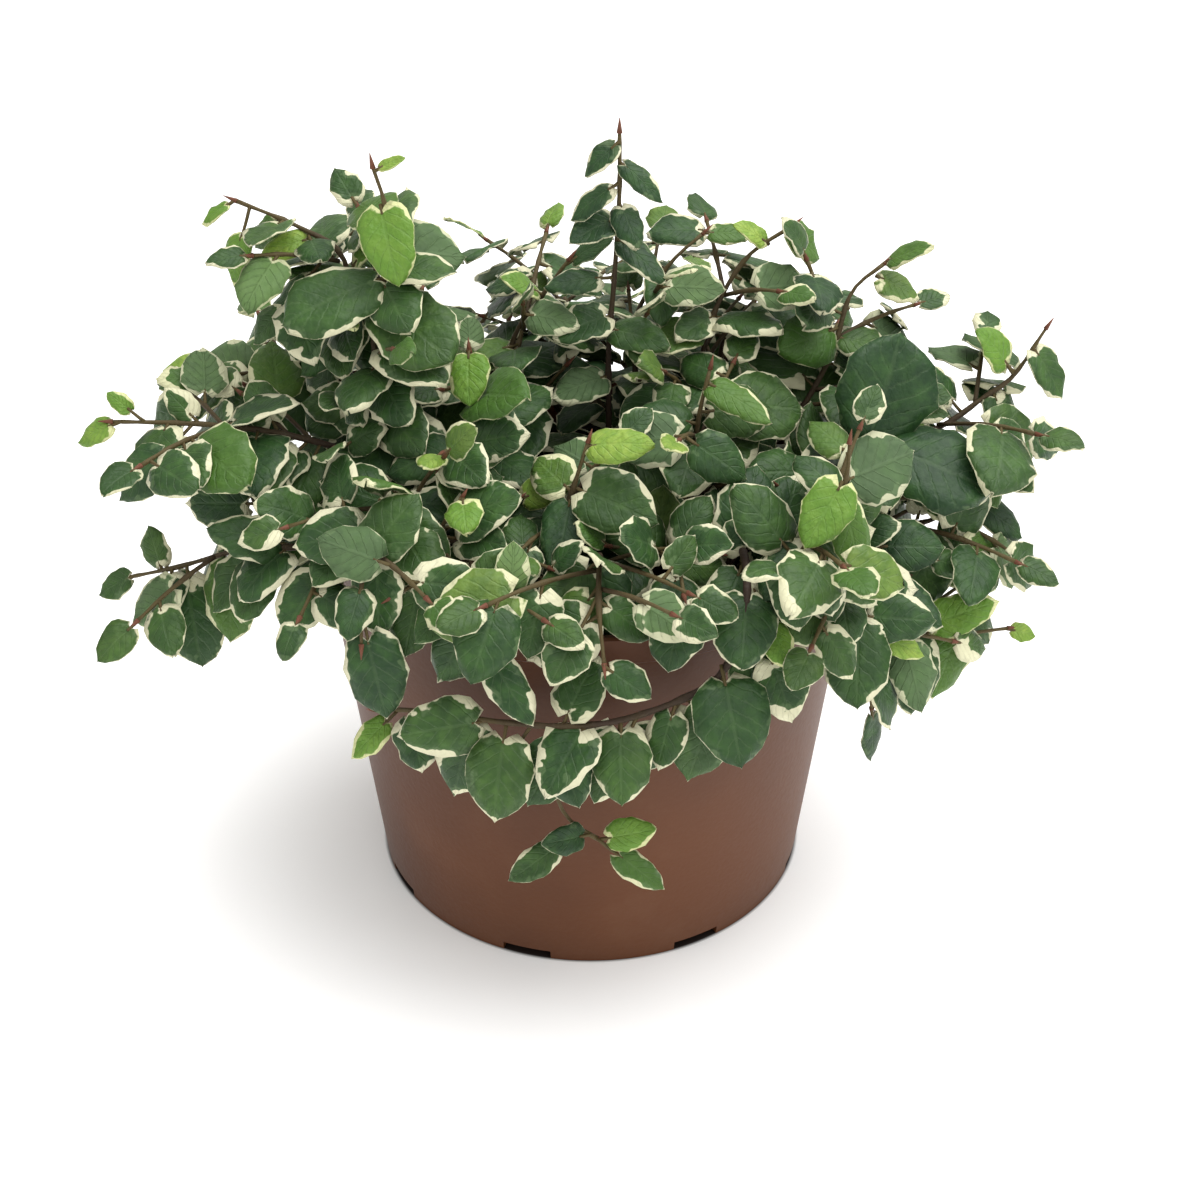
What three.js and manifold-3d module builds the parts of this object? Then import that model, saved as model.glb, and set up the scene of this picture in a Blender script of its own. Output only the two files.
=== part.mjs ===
import * as THREE from 'three';
import { mergeVertices } from 'three/addons/utils/BufferGeometryUtils.js';
import Module from 'manifold-3d';

const wasm = await Module();
wasm.setup();

// A creeping fig in a plastic nursery pot. Millimetres, Z up, the pot's axis is the Z axis, the pot's
// foot stands on z = 0 and the front of the plant looks along -Y.

// Driving dimensions of the pot
const POT_HEIGHT = 92;
const RIM_RADIUS = 60;
const FOOT_RADIUS = 49.5;
const WALL = 1.2;
const RIM_BAND_HEIGHT = 7;
const RIM_BAND_STEP = 0.7;
const LIP_ROUND = 0.5;
const FLOOR_HEIGHT = 3;
const FOOT_RING_WIDTH = 3;
const POT_SIDES = 40;
const NOTCH_COUNT = 8;
const NOTCH_WIDTH = 11;
const NOTCH_HEIGHT = 2.2;
const NOTCH_FIRST_ANGLE = -106.5;
const DRAIN_COUNT = 6;
const DRAIN_RADIUS = 3.2;
const DRAIN_CIRCLE = 36;
const DRAIN_SIDES = 8;

// Driving dimensions of the soil
const SOIL_TOP = 79;
const SOIL_CROWN = 1.4;
const SOIL_SHOULDER = 0.7;
const SOIL_GAP = 0.5;
const SOIL_SIDES = 24;
const STEM_HOLE_DEPTH = 17;
const STEM_HOLE_GAP = 1;
const STEM_HOLE_SIDES = 5;

// Driving dimensions of the stems
const STEM_BASE_RADIUS = 1.4;
const STEM_TIP_RADIUS = 0.9;
const SHOOT_BASE_RADIUS = 1;
const SHOOT_TIP_RADIUS = 0.85;
const STEM_SIDES = 3;
const STEM_STEP = 14;
const SHOOT_STEP = 9;

// Driving dimensions of the leaves
const LEAF_THICKNESS = 0.7;
const PETIOLE_WIDTH = 1;
const ROOT_DEPTH = 0.3;
const PETIOLE_LENGTH = 3;
const LEAF_LENGTH = 14.5;
const LEAF_LENGTH_SPREAD = 2.5;
const LEAF_WIDTH_SHARE = 0.82;
const LEAF_SPACING = 11.5;
const YOUNG_LEAF_SHARE = 0.6;
const BARE_STEM_SHARE = 0.36;
const BARE_SHOOT_SHARE = 0.25;
const MARGIN_WAVE = 0.45;
const MARGIN_CUT = 0.09;
const DROOP_LEAST = 0.08;
const DROOP_SPREAD = 0.14;
const BLADE_STATIONS = [0.18, 0.47, 0.78, 1];
const BLADE_WIDTHS = [0.76, 1, 0.72, 0.06];

// Room that a leaf keeps from what is round it
const BLADE_GAP = 1.55;
const BLADE_EDGE_GAP = 0.9;
const STEM_GAP = 0.95;
const STEM_EDGE_GAP = 0.5;
const OWN_STEM_REACH = 1.5;
const SEARCH_REACH = 2;
const SAMPLE_STEP = 1.9;
const RIM_GAP = 1.5;
const SOIL_LEAF_GAP = 1.2;

const COLOURS = { pot: 0x85573f, soil: 0x2b211b, leaf: 0x557a45 };

const UP = new THREE.Vector3(0, 0, 1);
const FRONT_FACE = new THREE.Vector3(0, -0.85, 0.53);

// The leafy stems. root is where the stem leaves the soil, route is the way it takes from there, and
// leaves are the ones that show best: where each starts along the stem, where its tip points, and the
// length and width of its blade. sides are side shoots of the same kind, shoots is how many more side
// shoots the rule further down adds, and the other leaves follow a rule too.
const STEMS = [
  { name: 'upright_sprig', root: [3, 0], shoots: 0,
    route: [[4, 0, 100], [4, 0, 125], [5, 0, 139], [6, 0, 157], [6, 0, 171]],
    leaves: [
      [0.98, [-1, -3, 163], 8, 5], [0.90, [-4, -4, 155], 10, 5], [0.83, [-3, -5, 151], 10, 7.5],
      [0.94, [12, -3, 156], 10, 5], [0.86, [9, -6, 152], 9, 6], [0.79, [13, -4, 144], 12, 6.5],
      [0.71, [-9, -3, 141], 11, 7], [0.63, [-7, -6, 131], 12, 9], [0.60, [13, -5, 130], 12, 9],
      [0.50, [-6, -6, 118], 12, 9],
    ] },
  { name: 'left_crown_stem', root: [-20, -6], shoots: 0,
    route: [[-30, -12, 98], [-40, -15, 112], [-43, -13, 131], [-40, -12, 147], [-39, -12, 159],
      [-41, -12, 168]],
    leaves: [
      [0.99, [-35, -12, 170], 5, 3], [0.93, [-37, -22, 149], 14.5, 11], [0.79, [-57, -20, 142], 20, 16],
      [0.75, [-28, -24, 135], 19, 15], [0.62, [-46, -24, 127], 14, 11], [0.52, [-28, -24, 118], 14, 11],
    ] },
  { name: 'far_left_crown_stem', root: [-24, 3], shoots: 1,
    route: [[-34, 2, 100], [-44, 2, 114], [-49, 2, 129], [-50, 2, 144], [-59, 6, 149], [-72, 8, 154]],
    leaves: [
      [0.84, [-67, 2, 151], 10, 6.5], [1, [-79, 6, 150], 6, 4], [0.97, [-74, 2, 138], 10, 7],
      [0.91, [-64, 3, 143], 9, 5.5], [0.80, [-67, -4, 130], 14, 8.5], [0.74, [-43, -1, 150], 8, 5],
      [0.66, [-60, -6, 122], 13, 10],
    ],
    sides: [{ at: 0.7, bare: 0.3, route: [[-54, -3, 142], [-61, -6, 137]], leaves: [] }] },
  { name: 'left_reaching_stem', root: [-34, 2], shoots: 2,
    route: [[-42, -8, 102], [-53, -15, 110], [-66, -18, 115], [-79, -19, 117], [-96, -20, 118]],
    leaves: [
      [0.98, [-103, -22, 115], 7.5, 6], [0.93, [-96, -19, 124], 5.5, 4], [0.87, [-91, -21, 110], 7, 5.5],
      [0.82, [-85, -17, 124], 7.5, 6], [0.74, [-79, -25, 108], 9, 8], [0.66, [-71, -15, 124], 10, 8],
      [0.60, [-67, -27, 106], 12, 10],
    ] },
  { name: 'left_low_stem', root: [-34, -8], shoots: 1,
    route: [[-42, -24, 99], [-50, -37, 100], [-58, -39, 100], [-68, -36, 98], [-84, -30, 90],
      [-96, -26, 85]],
    leaves: [
      [0.89, [-80, -36, 80], 10.5, 9], [0.98, [-102, -27, 82], 8, 6], [0.91, [-90, -26, 96], 8, 6],
      [0.66, [-76, -43, 88], 14, 10], [0.60, [-74, -41, 106], 14, 9.5], [0.48, [-64, -42, 112], 12, 10.5],
      [0.50, [-59, -50, 90], 13, 11],
    ] },
  { name: 'left_upper_stem', root: [-28, 13], shoots: 2,
    route: [[-38, 8, 98], [-50, 6, 108], [-60, 8, 114], [-71, 10, 117], [-84, 14, 115]],
    leaves: [[0.98, [-94, 16, 113], 9, 7]] },
  { name: 'left_front_stem', root: [-28, -16], shoots: 0,
    route: [[-34, -26, 100], [-39, -38, 110], [-42, -48, 108], [-43, -56, 100], [-43, -61, 91]],
    leaves: [
      [0.50, [-41, -47, 122], 14, 11.5], [0.70, [-36, -63, 97], 13.5, 10], [0.92, [-39, -66, 77], 16, 12],
      [0.58, [-53, -52, 100], 13, 11], [0.62, [-30, -56, 104], 12, 10],
    ] },
  { name: 'mid_left_stem', root: [-22, -20], shoots: 0,
    route: [[-27, -32, 97], [-30, -40, 101], [-28, -44, 108], [-24, -44, 114]],
    leaves: [[1, [-23, -52, 112], 7.5, 7], [0.8, [-16, -51, 108], 11, 9]] },
  { name: 'centre_left_stem', root: [-13, -9], shoots: 1,
    route: [[-18, -12, 97], [-23, -14, 108], [-24, -16, 121], [-24, -14, 131]],
    leaves: [[1, [-24, -23, 124], 10, 8.5], [0.82, [-16, -24, 113], 12, 9]] },
  { name: 'centre_back_stem', root: [-9, 3], shoots: 2,
    route: [[-12, 3, 98], [-16, 4, 112], [-16, 4, 125], [-9, 4, 136], [-4, 4, 143]],
    leaves: [[0.98, [6, 2, 145], 9, 6], [0.88, [-17, -1, 142], 9, 6]] },
  { name: 'centre_front_stem', root: [-4, -16], shoots: 0,
    route: [[-6, -27, 96], [-5, -34, 103], [-3, -37, 112], [0, -36, 122]],
    leaves: [[0.98, [12, -40, 124], 12, 7.5], [0.8, [-6, -47, 101], 15, 9.5]] },
  { name: 'centre_right_stem', root: [15, -12], shoots: 1,
    route: [[19, -18, 98], [21, -20, 109], [22, -22, 121], [24, -20, 130]],
    leaves: [[0.95, [35, -29, 124], 14, 7]] },
  { name: 'front_left_stem', root: [-14, -28], shoots: 0,
    route: [[-18, -38, 99], [-22, -48, 103], [-21, -58, 99], [-19, -65, 90]],
    leaves: [[0.95, [-14, -71, 78], 15, 8], [0.76, [-33, -62, 93], 11, 8], [0.7, [-11, -62, 98], 11, 8]] },
  { name: 'front_centre_stem', root: [1, -30], shoots: 1,
    route: [[2, -42, 99], [2, -52, 104], [2, -62, 100], [3, -69, 92]],
    leaves: [[0.62, [-3, -63, 110], 14, 9.5], [0.8, [-7, -73, 91], 10, 9], [1, [10, -73, 89], 9, 7]] },
  { name: 'front_right_mid_stem', root: [12, -24], shoots: 0,
    route: [[15, -38, 98], [17, -50, 103], [18, -59, 101]],
    leaves: [[0.98, [15, -69, 91], 13, 11], [0.7, [8, -56, 113], 12, 10]] },
  { name: 'trailing_stem', root: [25, -30], shoots: 0,
    route: [[29, -42, 101], [30, -53, 103], [29, -62, 97], [24, -66, 87], [10, -69, 81], [-3, -70, 79],
      [-18, -67, 78], [-31, -61, 76], [-43, -52, 70]],
    leaves: [
      [0.30, [37, -68, 92], 9, 6.5], [0.37, [39, -69, 79], 12.5, 10.5], [0.46, [19, -74, 68], 15.5, 11.5],
      [0.54, [10, -75, 66], 12, 8.5], [0.60, [1, -76, 65], 11, 8], [0.69, [-12, -75, 63], 14, 11],
      [0.74, [-17, -73, 64], 8, 7.5], [0.82, [-27, -70, 61], 15.5, 12.5], [0.95, [-48, -56, 64], 10, 6],
    ],
    sides: [{ at: 0.66, bare: 0.84, route: [[-6, -69, 70], [-6, -67, 59], [-3, -67, 53], [2, -67, 49]],
      leaves: [
        [0.94, [-10, -70, 54], 9, 6], [1, [13, -70, 54], 10, 6.5], [0.88, [-16, -73, 43], 11, 6],
        [0.97, [15, -73, 41], 11, 6],
      ] }] },
  { name: 'cut_stem', root: [8, -34], shoots: 0,
    route: [[14, -45, 96], [24, -54, 96], [33, -57, 93], [45, -52, 89], [57, -46, 88]],
    leaves: [] },
  { name: 'front_right_stem', root: [22, -20], shoots: 1,
    route: [[32, -36, 98], [41, -46, 104], [46, -50, 113], [48, -50, 122], [48, -50, 129]],
    leaves: [
      [0.90, [41, -57, 112], 13, 9.5], [0.86, [56, -57, 108], 14.5, 8], [0.68, [47, -59, 96], 14, 11.5],
    ] },
  { name: 'right_hanging_stem', root: [34, -18], shoots: 0,
    route: [[42, -34, 99], [49, -46, 98], [54, -51, 89], [56, -51, 76], [57, -49, 68]],
    leaves: [[0.98, [59, -48, 53], 13, 5], [0.76, [66, -53, 84], 10, 6], [0.6, [50, -60, 92], 11, 9]] },
  { name: 'right_low_stem', root: [39, -10], shoots: 0,
    route: [[46, -28, 99], [52, -38, 97], [60, -40, 86], [72, -38, 79], [86, -36, 79]],
    leaves: [
      [0.80, [82, -40, 88], 13.5, 8.5], [0.88, [71, -44, 68], 13, 10], [0.99, [91, -37, 78], 5, 4],
      [0.62, [67, -47, 82], 13, 10], [0.5, [62, -36, 100], 12, 9],
    ] },
  { name: 'right_mid_stem', root: [42, 0], shoots: 1,
    route: [[50, -18, 99], [60, -23, 96], [70, -20, 95], [79, -16, 98], [90, -14, 100]],
    leaves: [
      [0.72, [69, -20, 103], 7, 6], [0.88, [88, -21, 94], 11, 8], [0.78, [80, -23, 88], 9.5, 7],
      [0.58, [55, -32, 91], 13, 10],
    ] },
  { name: 'large_leaf_stem', root: [30, -4], shoots: 1,
    route: [[44, -10, 100], [54, -16, 106], [61, -18, 111]],
    leaves: [[0.9, [63, -13, 133], 21, 21], [1, [80, -27, 108], 21, 20.5]] },
  { name: 'far_right_stem', root: [38, 12], shoots: 1,
    route: [[50, 4, 102], [62, -2, 105], [74, -1, 107], [84, 2, 113], [90, 4, 117], [96, 6, 127]],
    leaves: [
      [0.95, [101, 1, 113], 11.5, 9], [0.82, [92, -2, 101], 14.5, 9.5], [0.88, [82, 4, 128], 10, 9],
      [0.74, [70, 3, 120], 10, 8],
    ] },
  { name: 'right_upper_stem', root: [26, 5], shoots: 2,
    route: [[34, 2, 96], [43, 1, 107], [51, 5, 121], [55, 10, 133], [62, 12, 139]],
    leaves: [
      [1, [67, 9, 143], 10, 6], [0.96, [69, 9, 133], 9, 8], [0.84, [43, 7, 135], 9, 5],
      [0.78, [63, 3, 124], 11, 8],
    ] },
  { name: 'right_crown_stem', root: [17, 0], shoots: 2,
    route: [[20, 2, 98], [23, 4, 112], [25, 6, 127], [32, 8, 141], [42, 10, 148]],
    leaves: [[0.93, [31, 8, 149], 7.5, 5], [0.98, [48, 6, 141], 9, 8.5], [0.72, [20, 0, 129], 10, 8]] },
  { name: 'right_top_stem', root: [9, 11], shoots: 2,
    route: [[10, 10, 98], [10, 10, 110], [10, 12, 127], [17, 14, 138], [24, 16, 144]],
    leaves: [[0.86, [15, 5, 131], 11, 8.5], [1, [32, 16, 144], 8, 6], [0.7, [15, 4, 124], 11, 9]] },
];

// The stems at the back leave the soil on a circle and arch over the rim.
const BACK_AZIMUTHS = [22, 47, 72, 97, 122, 147];
const BACK_ROOT_RADIUS = 31;
const BACK_ARCH = [[41, 99], [50, 106], [58, 104], [65, 96]];
const BACK_RISE = 9;

BACK_AZIMUTHS.forEach((azimuth, index) => {
  const angle = THREE.MathUtils.degToRad(azimuth);
  const at = (radius) => [radius * Math.cos(angle), radius * Math.sin(angle)];
  STEMS.push({
    name: 'back_stem_' + (index + 1),
    root: at(BACK_ROOT_RADIUS),
    shoots: 2,
    route: BACK_ARCH.map(([radius, height], step) => {
      const rise = index % 2 === 1 && step > 0 ? BACK_RISE : 0;
      return [...at(radius - rise / 2), height + rise];
    }),
    leaves: [],
  });
});

// Seeded draws between 0 and 1
const DRAW_RANGE = 4294967296;
let drawState = 1;

function nextDraw() {
  drawState = (drawState * 1664525 + 1013904223) % DRAW_RANGE;
  return drawState / DRAW_RANGE;
}

function startDraws(number) {
  drawState = (number * 2654435 + 97) % DRAW_RANGE;
  nextDraw();
  nextDraw();
}

function drawSpread(spread) {
  return (nextDraw() * 2 - 1) * spread;
}

// Axes: the centre line of each stem and side shoot, as a row of knots with a radius at each
const axes = [];

function makeAxis(node, points, step, baseRadius, tipRadius) {
  const controls = points.map((point) => new THREE.Vector3(...point));
  const curve = new THREE.CatmullRomCurve3(controls, false, 'catmullrom', 0.5);
  const steps = Math.max(3, Math.round(curve.getLength() / step));
  const knots = curve.getSpacedPoints(steps);
  const reaches = [0];
  for (let i = 1; i < knots.length; i += 1) {
    reaches.push(reaches[i - 1] + knots[i].distanceTo(knots[i - 1]));
  }
  const axis = { node, curve, steps, knots, reaches, baseRadius, tipRadius };
  axis.length = reaches[steps];
  axis.samples = [];
  const count = Math.ceil(axis.length / SAMPLE_STEP);
  for (let i = 0; i <= count; i += 1) {
    axis.samples.push({ point: pointOn(axis, i / count).point, radius: radiusOn(axis, i / count) });
  }
  axes.push(axis);
  return axis;
}

function radiusOn(axis, share) {
  return axis.baseRadius + (axis.tipRadius - axis.baseRadius) * share;
}

function pointOn(axis, share) {
  const reach = Math.min(Math.max(share, 0), 1) * axis.length;
  let i = 0;
  while (i < axis.steps - 1 && axis.reaches[i + 1] < reach) {
    i += 1;
  }
  const part = (reach - axis.reaches[i]) / (axis.reaches[i + 1] - axis.reaches[i]);
  const tangent = axis.knots[i + 1].clone().sub(axis.knots[i]);
  const point = axis.knots[i].clone().addScaledVector(tangent, part);
  return { point, tangent: tangent.normalize() };
}

// Leaves turn their face to the light: up over the middle of the pot, outwards round its edge, and
// more so where a stem hangs below the rim.
const OUTWARD_REACH = 45;
const OUTWARD_SHARE = 0.5;
const HANGING_SHARE = 1;
const HANGING_DEPTH = 20;

function lightAt(point) {
  const hanging = Math.min(Math.max((POT_HEIGHT + 4 - point.z) / HANGING_DEPTH, 0), 1);
  const share = (OUTWARD_SHARE + HANGING_SHARE * hanging) / OUTWARD_REACH;
  const outward = new THREE.Vector3(point.x, point.y, 0).clampLength(0, OUTWARD_REACH);
  return outward.multiplyScalar(share).add(UP).normalize();
}

// The plant stood with its front to a window, so the leaves there lean that way too.
const FRONT_SHARE = 1.3;
const FRONT_END = 35;
const FRONT_DEPTH = 45;

function frontAt(point) {
  const share = Math.min(Math.max((FRONT_END - point.y) / FRONT_DEPTH, 0), 1);
  return FRONT_FACE.clone().multiplyScalar(FRONT_SHARE * share);
}

function turned(vector, axis, angle) {
  return vector.clone().applyAxisAngle(axis, angle);
}

function squareTo(vector, along) {
  return vector.clone().addScaledVector(along, -vector.dot(along)).normalize();
}

// A leaf: its root on the axis, its direction, its upward face, its lengths and its waved margin
function makeLeaf(axis, share, along, facing, blade, width, petiole) {
  const leaf = { axis, share, blade, width, petiole };
  leaf.root = pointOn(axis, share).point;
  leaf.along = along;
  leaf.facing = squareTo(facing, along);
  leaf.across = new THREE.Vector3().crossVectors(leaf.facing, leaf.along);
  leaf.droop = DROOP_LEAST + DROOP_SPREAD * nextDraw();
  leaf.waves = BLADE_STATIONS.map(() => [drawSpread(MARGIN_WAVE), drawSpread(MARGIN_WAVE)]);
  leaf.cuts = BLADE_STATIONS.map(() => [1 + drawSpread(MARGIN_CUT), 1 + drawSpread(MARGIN_CUT)]);
  return leaf;
}

function bladeHeight(leaf, reach) {
  const share = Math.max(0, (reach - leaf.petiole) / leaf.blade);
  return -leaf.droop * leaf.blade * share * share;
}

function halfWidth(leaf, reach) {
  const share = (reach - leaf.petiole) / leaf.blade;
  if (share <= 0) {
    return PETIOLE_WIDTH / 2;
  }
  let before = 0;
  let beforeWidth = PETIOLE_WIDTH / 2;
  for (let i = 0; i < BLADE_STATIONS.length; i += 1) {
    const widthHere = (BLADE_WIDTHS[i] * leaf.width) / 2;
    if (share <= BLADE_STATIONS[i]) {
      return beforeWidth + ((widthHere - beforeWidth) * (share - before)) / (BLADE_STATIONS[i] - before);
    }
    before = BLADE_STATIONS[i];
    beforeWidth = widthHere;
  }
  return beforeWidth;
}

function leafPoint(leaf, reach, side, height) {
  return leaf.root.clone()
    .addScaledVector(leaf.along, reach)
    .addScaledVector(leaf.across, side)
    .addScaledVector(leaf.facing, height);
}

function leafSamples(leaf) {
  const points = [];
  const total = leaf.petiole + leaf.blade;
  const rows = Math.ceil((total - 1) / SAMPLE_STEP);
  for (let row = 0; row <= rows; row += 1) {
    const reach = 1 + ((total - 1) * row) / rows;
    const half = halfWidth(leaf, reach);
    const columns = Math.ceil(half / SAMPLE_STEP);
    for (let column = -columns; column <= columns; column += 1) {
      const point = leafPoint(leaf, reach, (half * column) / columns, bladeHeight(leaf, reach));
      points.push(Object.assign(point, { onPetiole: reach < leaf.petiole }));
    }
  }
  return points;
}

function meetsBlade(leaf, point, edgeGap, faceGap, from = 0) {
  const offset = point.clone().sub(leaf.root);
  const reach = offset.dot(leaf.along);
  if (reach < from || reach > leaf.petiole + leaf.blade + edgeGap) {
    return false;
  }
  if (Math.abs(offset.dot(leaf.across)) > halfWidth(leaf, reach) + edgeGap) {
    return false;
  }
  return Math.abs(offset.dot(leaf.facing) - bladeHeight(leaf, reach)) < faceGap;
}

function meetsPot(point) {
  const radius = Math.hypot(point.x, point.y);
  const wall = FOOT_RADIUS + ((RIM_RADIUS - FOOT_RADIUS) * point.z) / POT_HEIGHT;
  if (point.z < SOIL_TOP + SOIL_CROWN + SOIL_LEAF_GAP && radius < wall) {
    return true;
  }
  return point.z < POT_HEIGHT + RIM_GAP && radius < wall + RIM_GAP && radius > wall - WALL - RIM_GAP;
}

// Petioles on the same axis may start close together.
function leavesMeet(leaf, other) {
  const sameAxis = leaf.axis === other.axis;
  return leaf.samples.some((point) => !(sameAxis && point.onPetiole)
    && meetsBlade(other, point, BLADE_EDGE_GAP, BLADE_GAP, sameAxis ? other.petiole : 0));
}

const leaves = [];

function hasRoom(leaf) {
  leaf.samples = leafSamples(leaf);
  leaf.middle = leafPoint(leaf, (leaf.petiole + leaf.blade) / 2, 0, 0);
  leaf.size = (leaf.petiole + leaf.blade) / 2 + SEARCH_REACH;
  if (leaf.samples.some(meetsPot)) {
    return false;
  }
  const ownReach = leaf.petiole + OWN_STEM_REACH;
  for (const axis of axes) {
    for (const sample of axis.samples) {
      if (leaf.middle.distanceTo(sample.point) > leaf.size + SEARCH_REACH) {
        continue;
      }
      if (axis.node === leaf.axis.node && sample.point.distanceTo(leaf.root) < ownReach) {
        continue;
      }
      if (meetsBlade(leaf, sample.point, sample.radius + STEM_EDGE_GAP, sample.radius + STEM_GAP)) {
        return false;
      }
    }
  }
  for (const other of leaves) {
    if (leaf.middle.distanceTo(other.middle) > leaf.size + other.size) {
      continue;
    }
    if (leavesMeet(leaf, other) || leavesMeet(other, leaf)) {
      return false;
    }
  }
  return true;
}

// A leaf is tried where it should grow, then turned aside, raised or lowered, then a little smaller,
// and it is left out where there is no room for it.
const TRIES = 18;
const TRY_TURN = 13;
const TRY_TILT = 16;
const LATE_TRY_SIZE = 0.84;

function growLeaf(axis, share, along, facing, blade, width, petiole, number) {
  for (let attempt = 0; attempt < TRIES; attempt += 1) {
    startDraws(number);
    const side = attempt % 2 === 0 ? 1 : -1;
    const turn = THREE.MathUtils.degToRad(TRY_TURN * side * Math.ceil(attempt / 2));
    const tilt = THREE.MathUtils.degToRad(TRY_TILT * ((attempt % 3) - (attempt % 3 === 2 ? 3 : 0)));
    const size = attempt < TRIES / 2 ? 1 : LATE_TRY_SIZE;
    const face = squareTo(facing, along);
    const turnedAlong = turned(along, face, turn);
    const hinge = new THREE.Vector3().crossVectors(face, turnedAlong).normalize();
    const triedAlong = turned(turnedAlong, hinge, tilt);
    const triedFace = turned(face, hinge, tilt);
    const leaf = makeLeaf(axis, share, triedAlong, triedFace, blade * size, width * size, petiole);
    if (hasRoom(leaf)) {
      leaves.push(leaf);
      return leaf;
    }
  }
  return null;
}

// Main stems first, so that every leaf knows where they run
const ROOT_CLEAR = 3;
STEMS.forEach((stem) => {
  const [x, y] = stem.root;
  const low = [x, y, SOIL_TOP + SOIL_CROWN - STEM_HOLE_DEPTH + ROOT_CLEAR];
  const top = [x, y, SOIL_TOP + SOIL_CROWN];
  stem.axis = makeAxis(stem.name, [low, top, ...stem.route], STEM_STEP, STEM_BASE_RADIUS, STEM_TIP_RADIUS);
  stem.axis.bare = BARE_STEM_SHARE;
  stem.axis.leaves = stem.leaves;
  stem.axes = [stem.axis];
  (stem.sides || []).forEach(({ at, bare, route, leaves: sideLeaves }) => {
    const start = pointOn(stem.axis, at).point.toArray();
    const side = makeAxis(stem.name, [start, ...route], SHOOT_STEP, SHOOT_BASE_RADIUS, SHOOT_TIP_RADIUS);
    stem.axes.push(Object.assign(side, { bare, leaves: sideLeaves }));
  });
});

// Side shoots leave the stem to alternate sides and bow down a little at their ends.
const SHOOT_LENGTH = 24;
const SHOOT_FIRST = 0.5;
const SHOOT_LAST = 0.86;
const SHOOT_SAG = 0.16;
const SHOOT_FORWARD = 0.6;
const SHOOT_LIFT = 0.6;
const SHOOT_LENGTH_LEAST = 0.85;
const SHOOT_LENGTH_SPREAD = 0.3;
const SHOOT_TRIES = 8;
const LATE_SHOOT_SIZE = 0.7;
const SHOOT_GAP = 1.2;
const SHOOT_OWN_REACH = 4.5;

function hasShootRoom(points, own, root) {
  for (const point of points) {
    if (meetsPot(point)) {
      return false;
    }
    for (const axis of axes) {
      for (const sample of axis.samples) {
        const near = axis === own && sample.point.distanceTo(root) < SHOOT_OWN_REACH;
        if (!near && sample.point.distanceTo(point) < sample.radius + SHOOT_BASE_RADIUS + SHOOT_GAP) {
          return false;
        }
      }
    }
  }
  return true;
}

function growShoot(stem, index) {
  const share = SHOOT_FIRST + ((SHOOT_LAST - SHOOT_FIRST) * (index + 0.5)) / stem.shoots;
  const { point, tangent } = pointOn(stem.axis, share);
  for (let attempt = 0; attempt < SHOOT_TRIES; attempt += 1) {
    const light = lightAt(point);
    const side = new THREE.Vector3().crossVectors(tangent, light).normalize();
    if ((index + attempt) % 2 === 1) {
      side.negate();
    }
    const lift = nextDraw() * SHOOT_LIFT;
    const heading = side.addScaledVector(tangent, SHOOT_FORWARD).addScaledVector(light, lift).normalize();
    const size = attempt < SHOOT_TRIES / 2 ? 1 : LATE_SHOOT_SIZE;
    const length = SHOOT_LENGTH * (SHOOT_LENGTH_LEAST + SHOOT_LENGTH_SPREAD * nextDraw()) * size;
    const points = [0, 1 / 3, 2 / 3, 1].map((part) => point.clone()
      .addScaledVector(heading, length * part)
      .addScaledVector(UP, -SHOOT_SAG * length * part * part));
    const free = [];
    for (let i = 1; i <= 10; i += 1) {
      free.push(point.clone()
        .addScaledVector(heading, (length * i) / 10)
        .addScaledVector(UP, (-SHOOT_SAG * length * i * i) / 100));
    }
    if (hasShootRoom(free.slice(2), stem.axis, point)) {
      const route = points.map((each) => each.toArray());
      const shoot = makeAxis(stem.name, route, SHOOT_STEP, SHOOT_BASE_RADIUS, SHOOT_TIP_RADIUS);
      stem.axes.push(Object.assign(shoot, { bare: BARE_SHOOT_SHARE, leaves: [] }));
      return;
    }
  }
}

STEMS.forEach((stem, stemIndex) => {
  startDraws(500 + stemIndex);
  for (let index = 0; index < stem.shoots; index += 1) {
    growShoot(stem, index);
  }
});

// The leaves that show best
STEMS.forEach((stem, stemIndex) => {
  stem.axes.forEach((axis, axisIndex) => {
    axis.leaves.forEach(([share, tip, blade, width], index) => {
      const { point } = pointOn(axis, share);
      const toTip = new THREE.Vector3(...tip).sub(point);
      const petiole = Math.max(toTip.length() - blade, PETIOLE_LENGTH / 2);
      const facing = lightAt(point).add(FRONT_FACE);
      const number = 1000 + stemIndex * 80 + axisIndex * 20 + index;
      growLeaf(axis, share, toTip.normalize(), facing, blade, width, petiole, number);
    });
  });
});

// The other leaves: on alternate sides of each axis, and one that ends it
const RANK_TURN = 25;
const STEMS_WITHOUT_MORE = ['cut_stem', 'upright_sprig'];
const LEAF_FORWARD = 0.55;
const LEAF_HANG = 0.5;
const FACE_SPREAD = 0.35;
const FACE_LIFT_SPREAD = 0.2;
const GROWN_STEP = 0.2;
const WIDTH_SHARE_SPREAD = 0.06;
const PETIOLE_LEAST = 0.7;
const PETIOLE_SPREAD = 0.5;

function leafAlong(axis, share, rank, light) {
  const { tangent } = pointOn(axis, share);
  const side = new THREE.Vector3().crossVectors(tangent, light).normalize().multiplyScalar(rank);
  const along = side.addScaledVector(tangent, LEAF_FORWARD).addScaledVector(UP, -LEAF_HANG).normalize();
  return turned(along, light, THREE.MathUtils.degToRad(drawSpread(RANK_TURN)));
}

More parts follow.
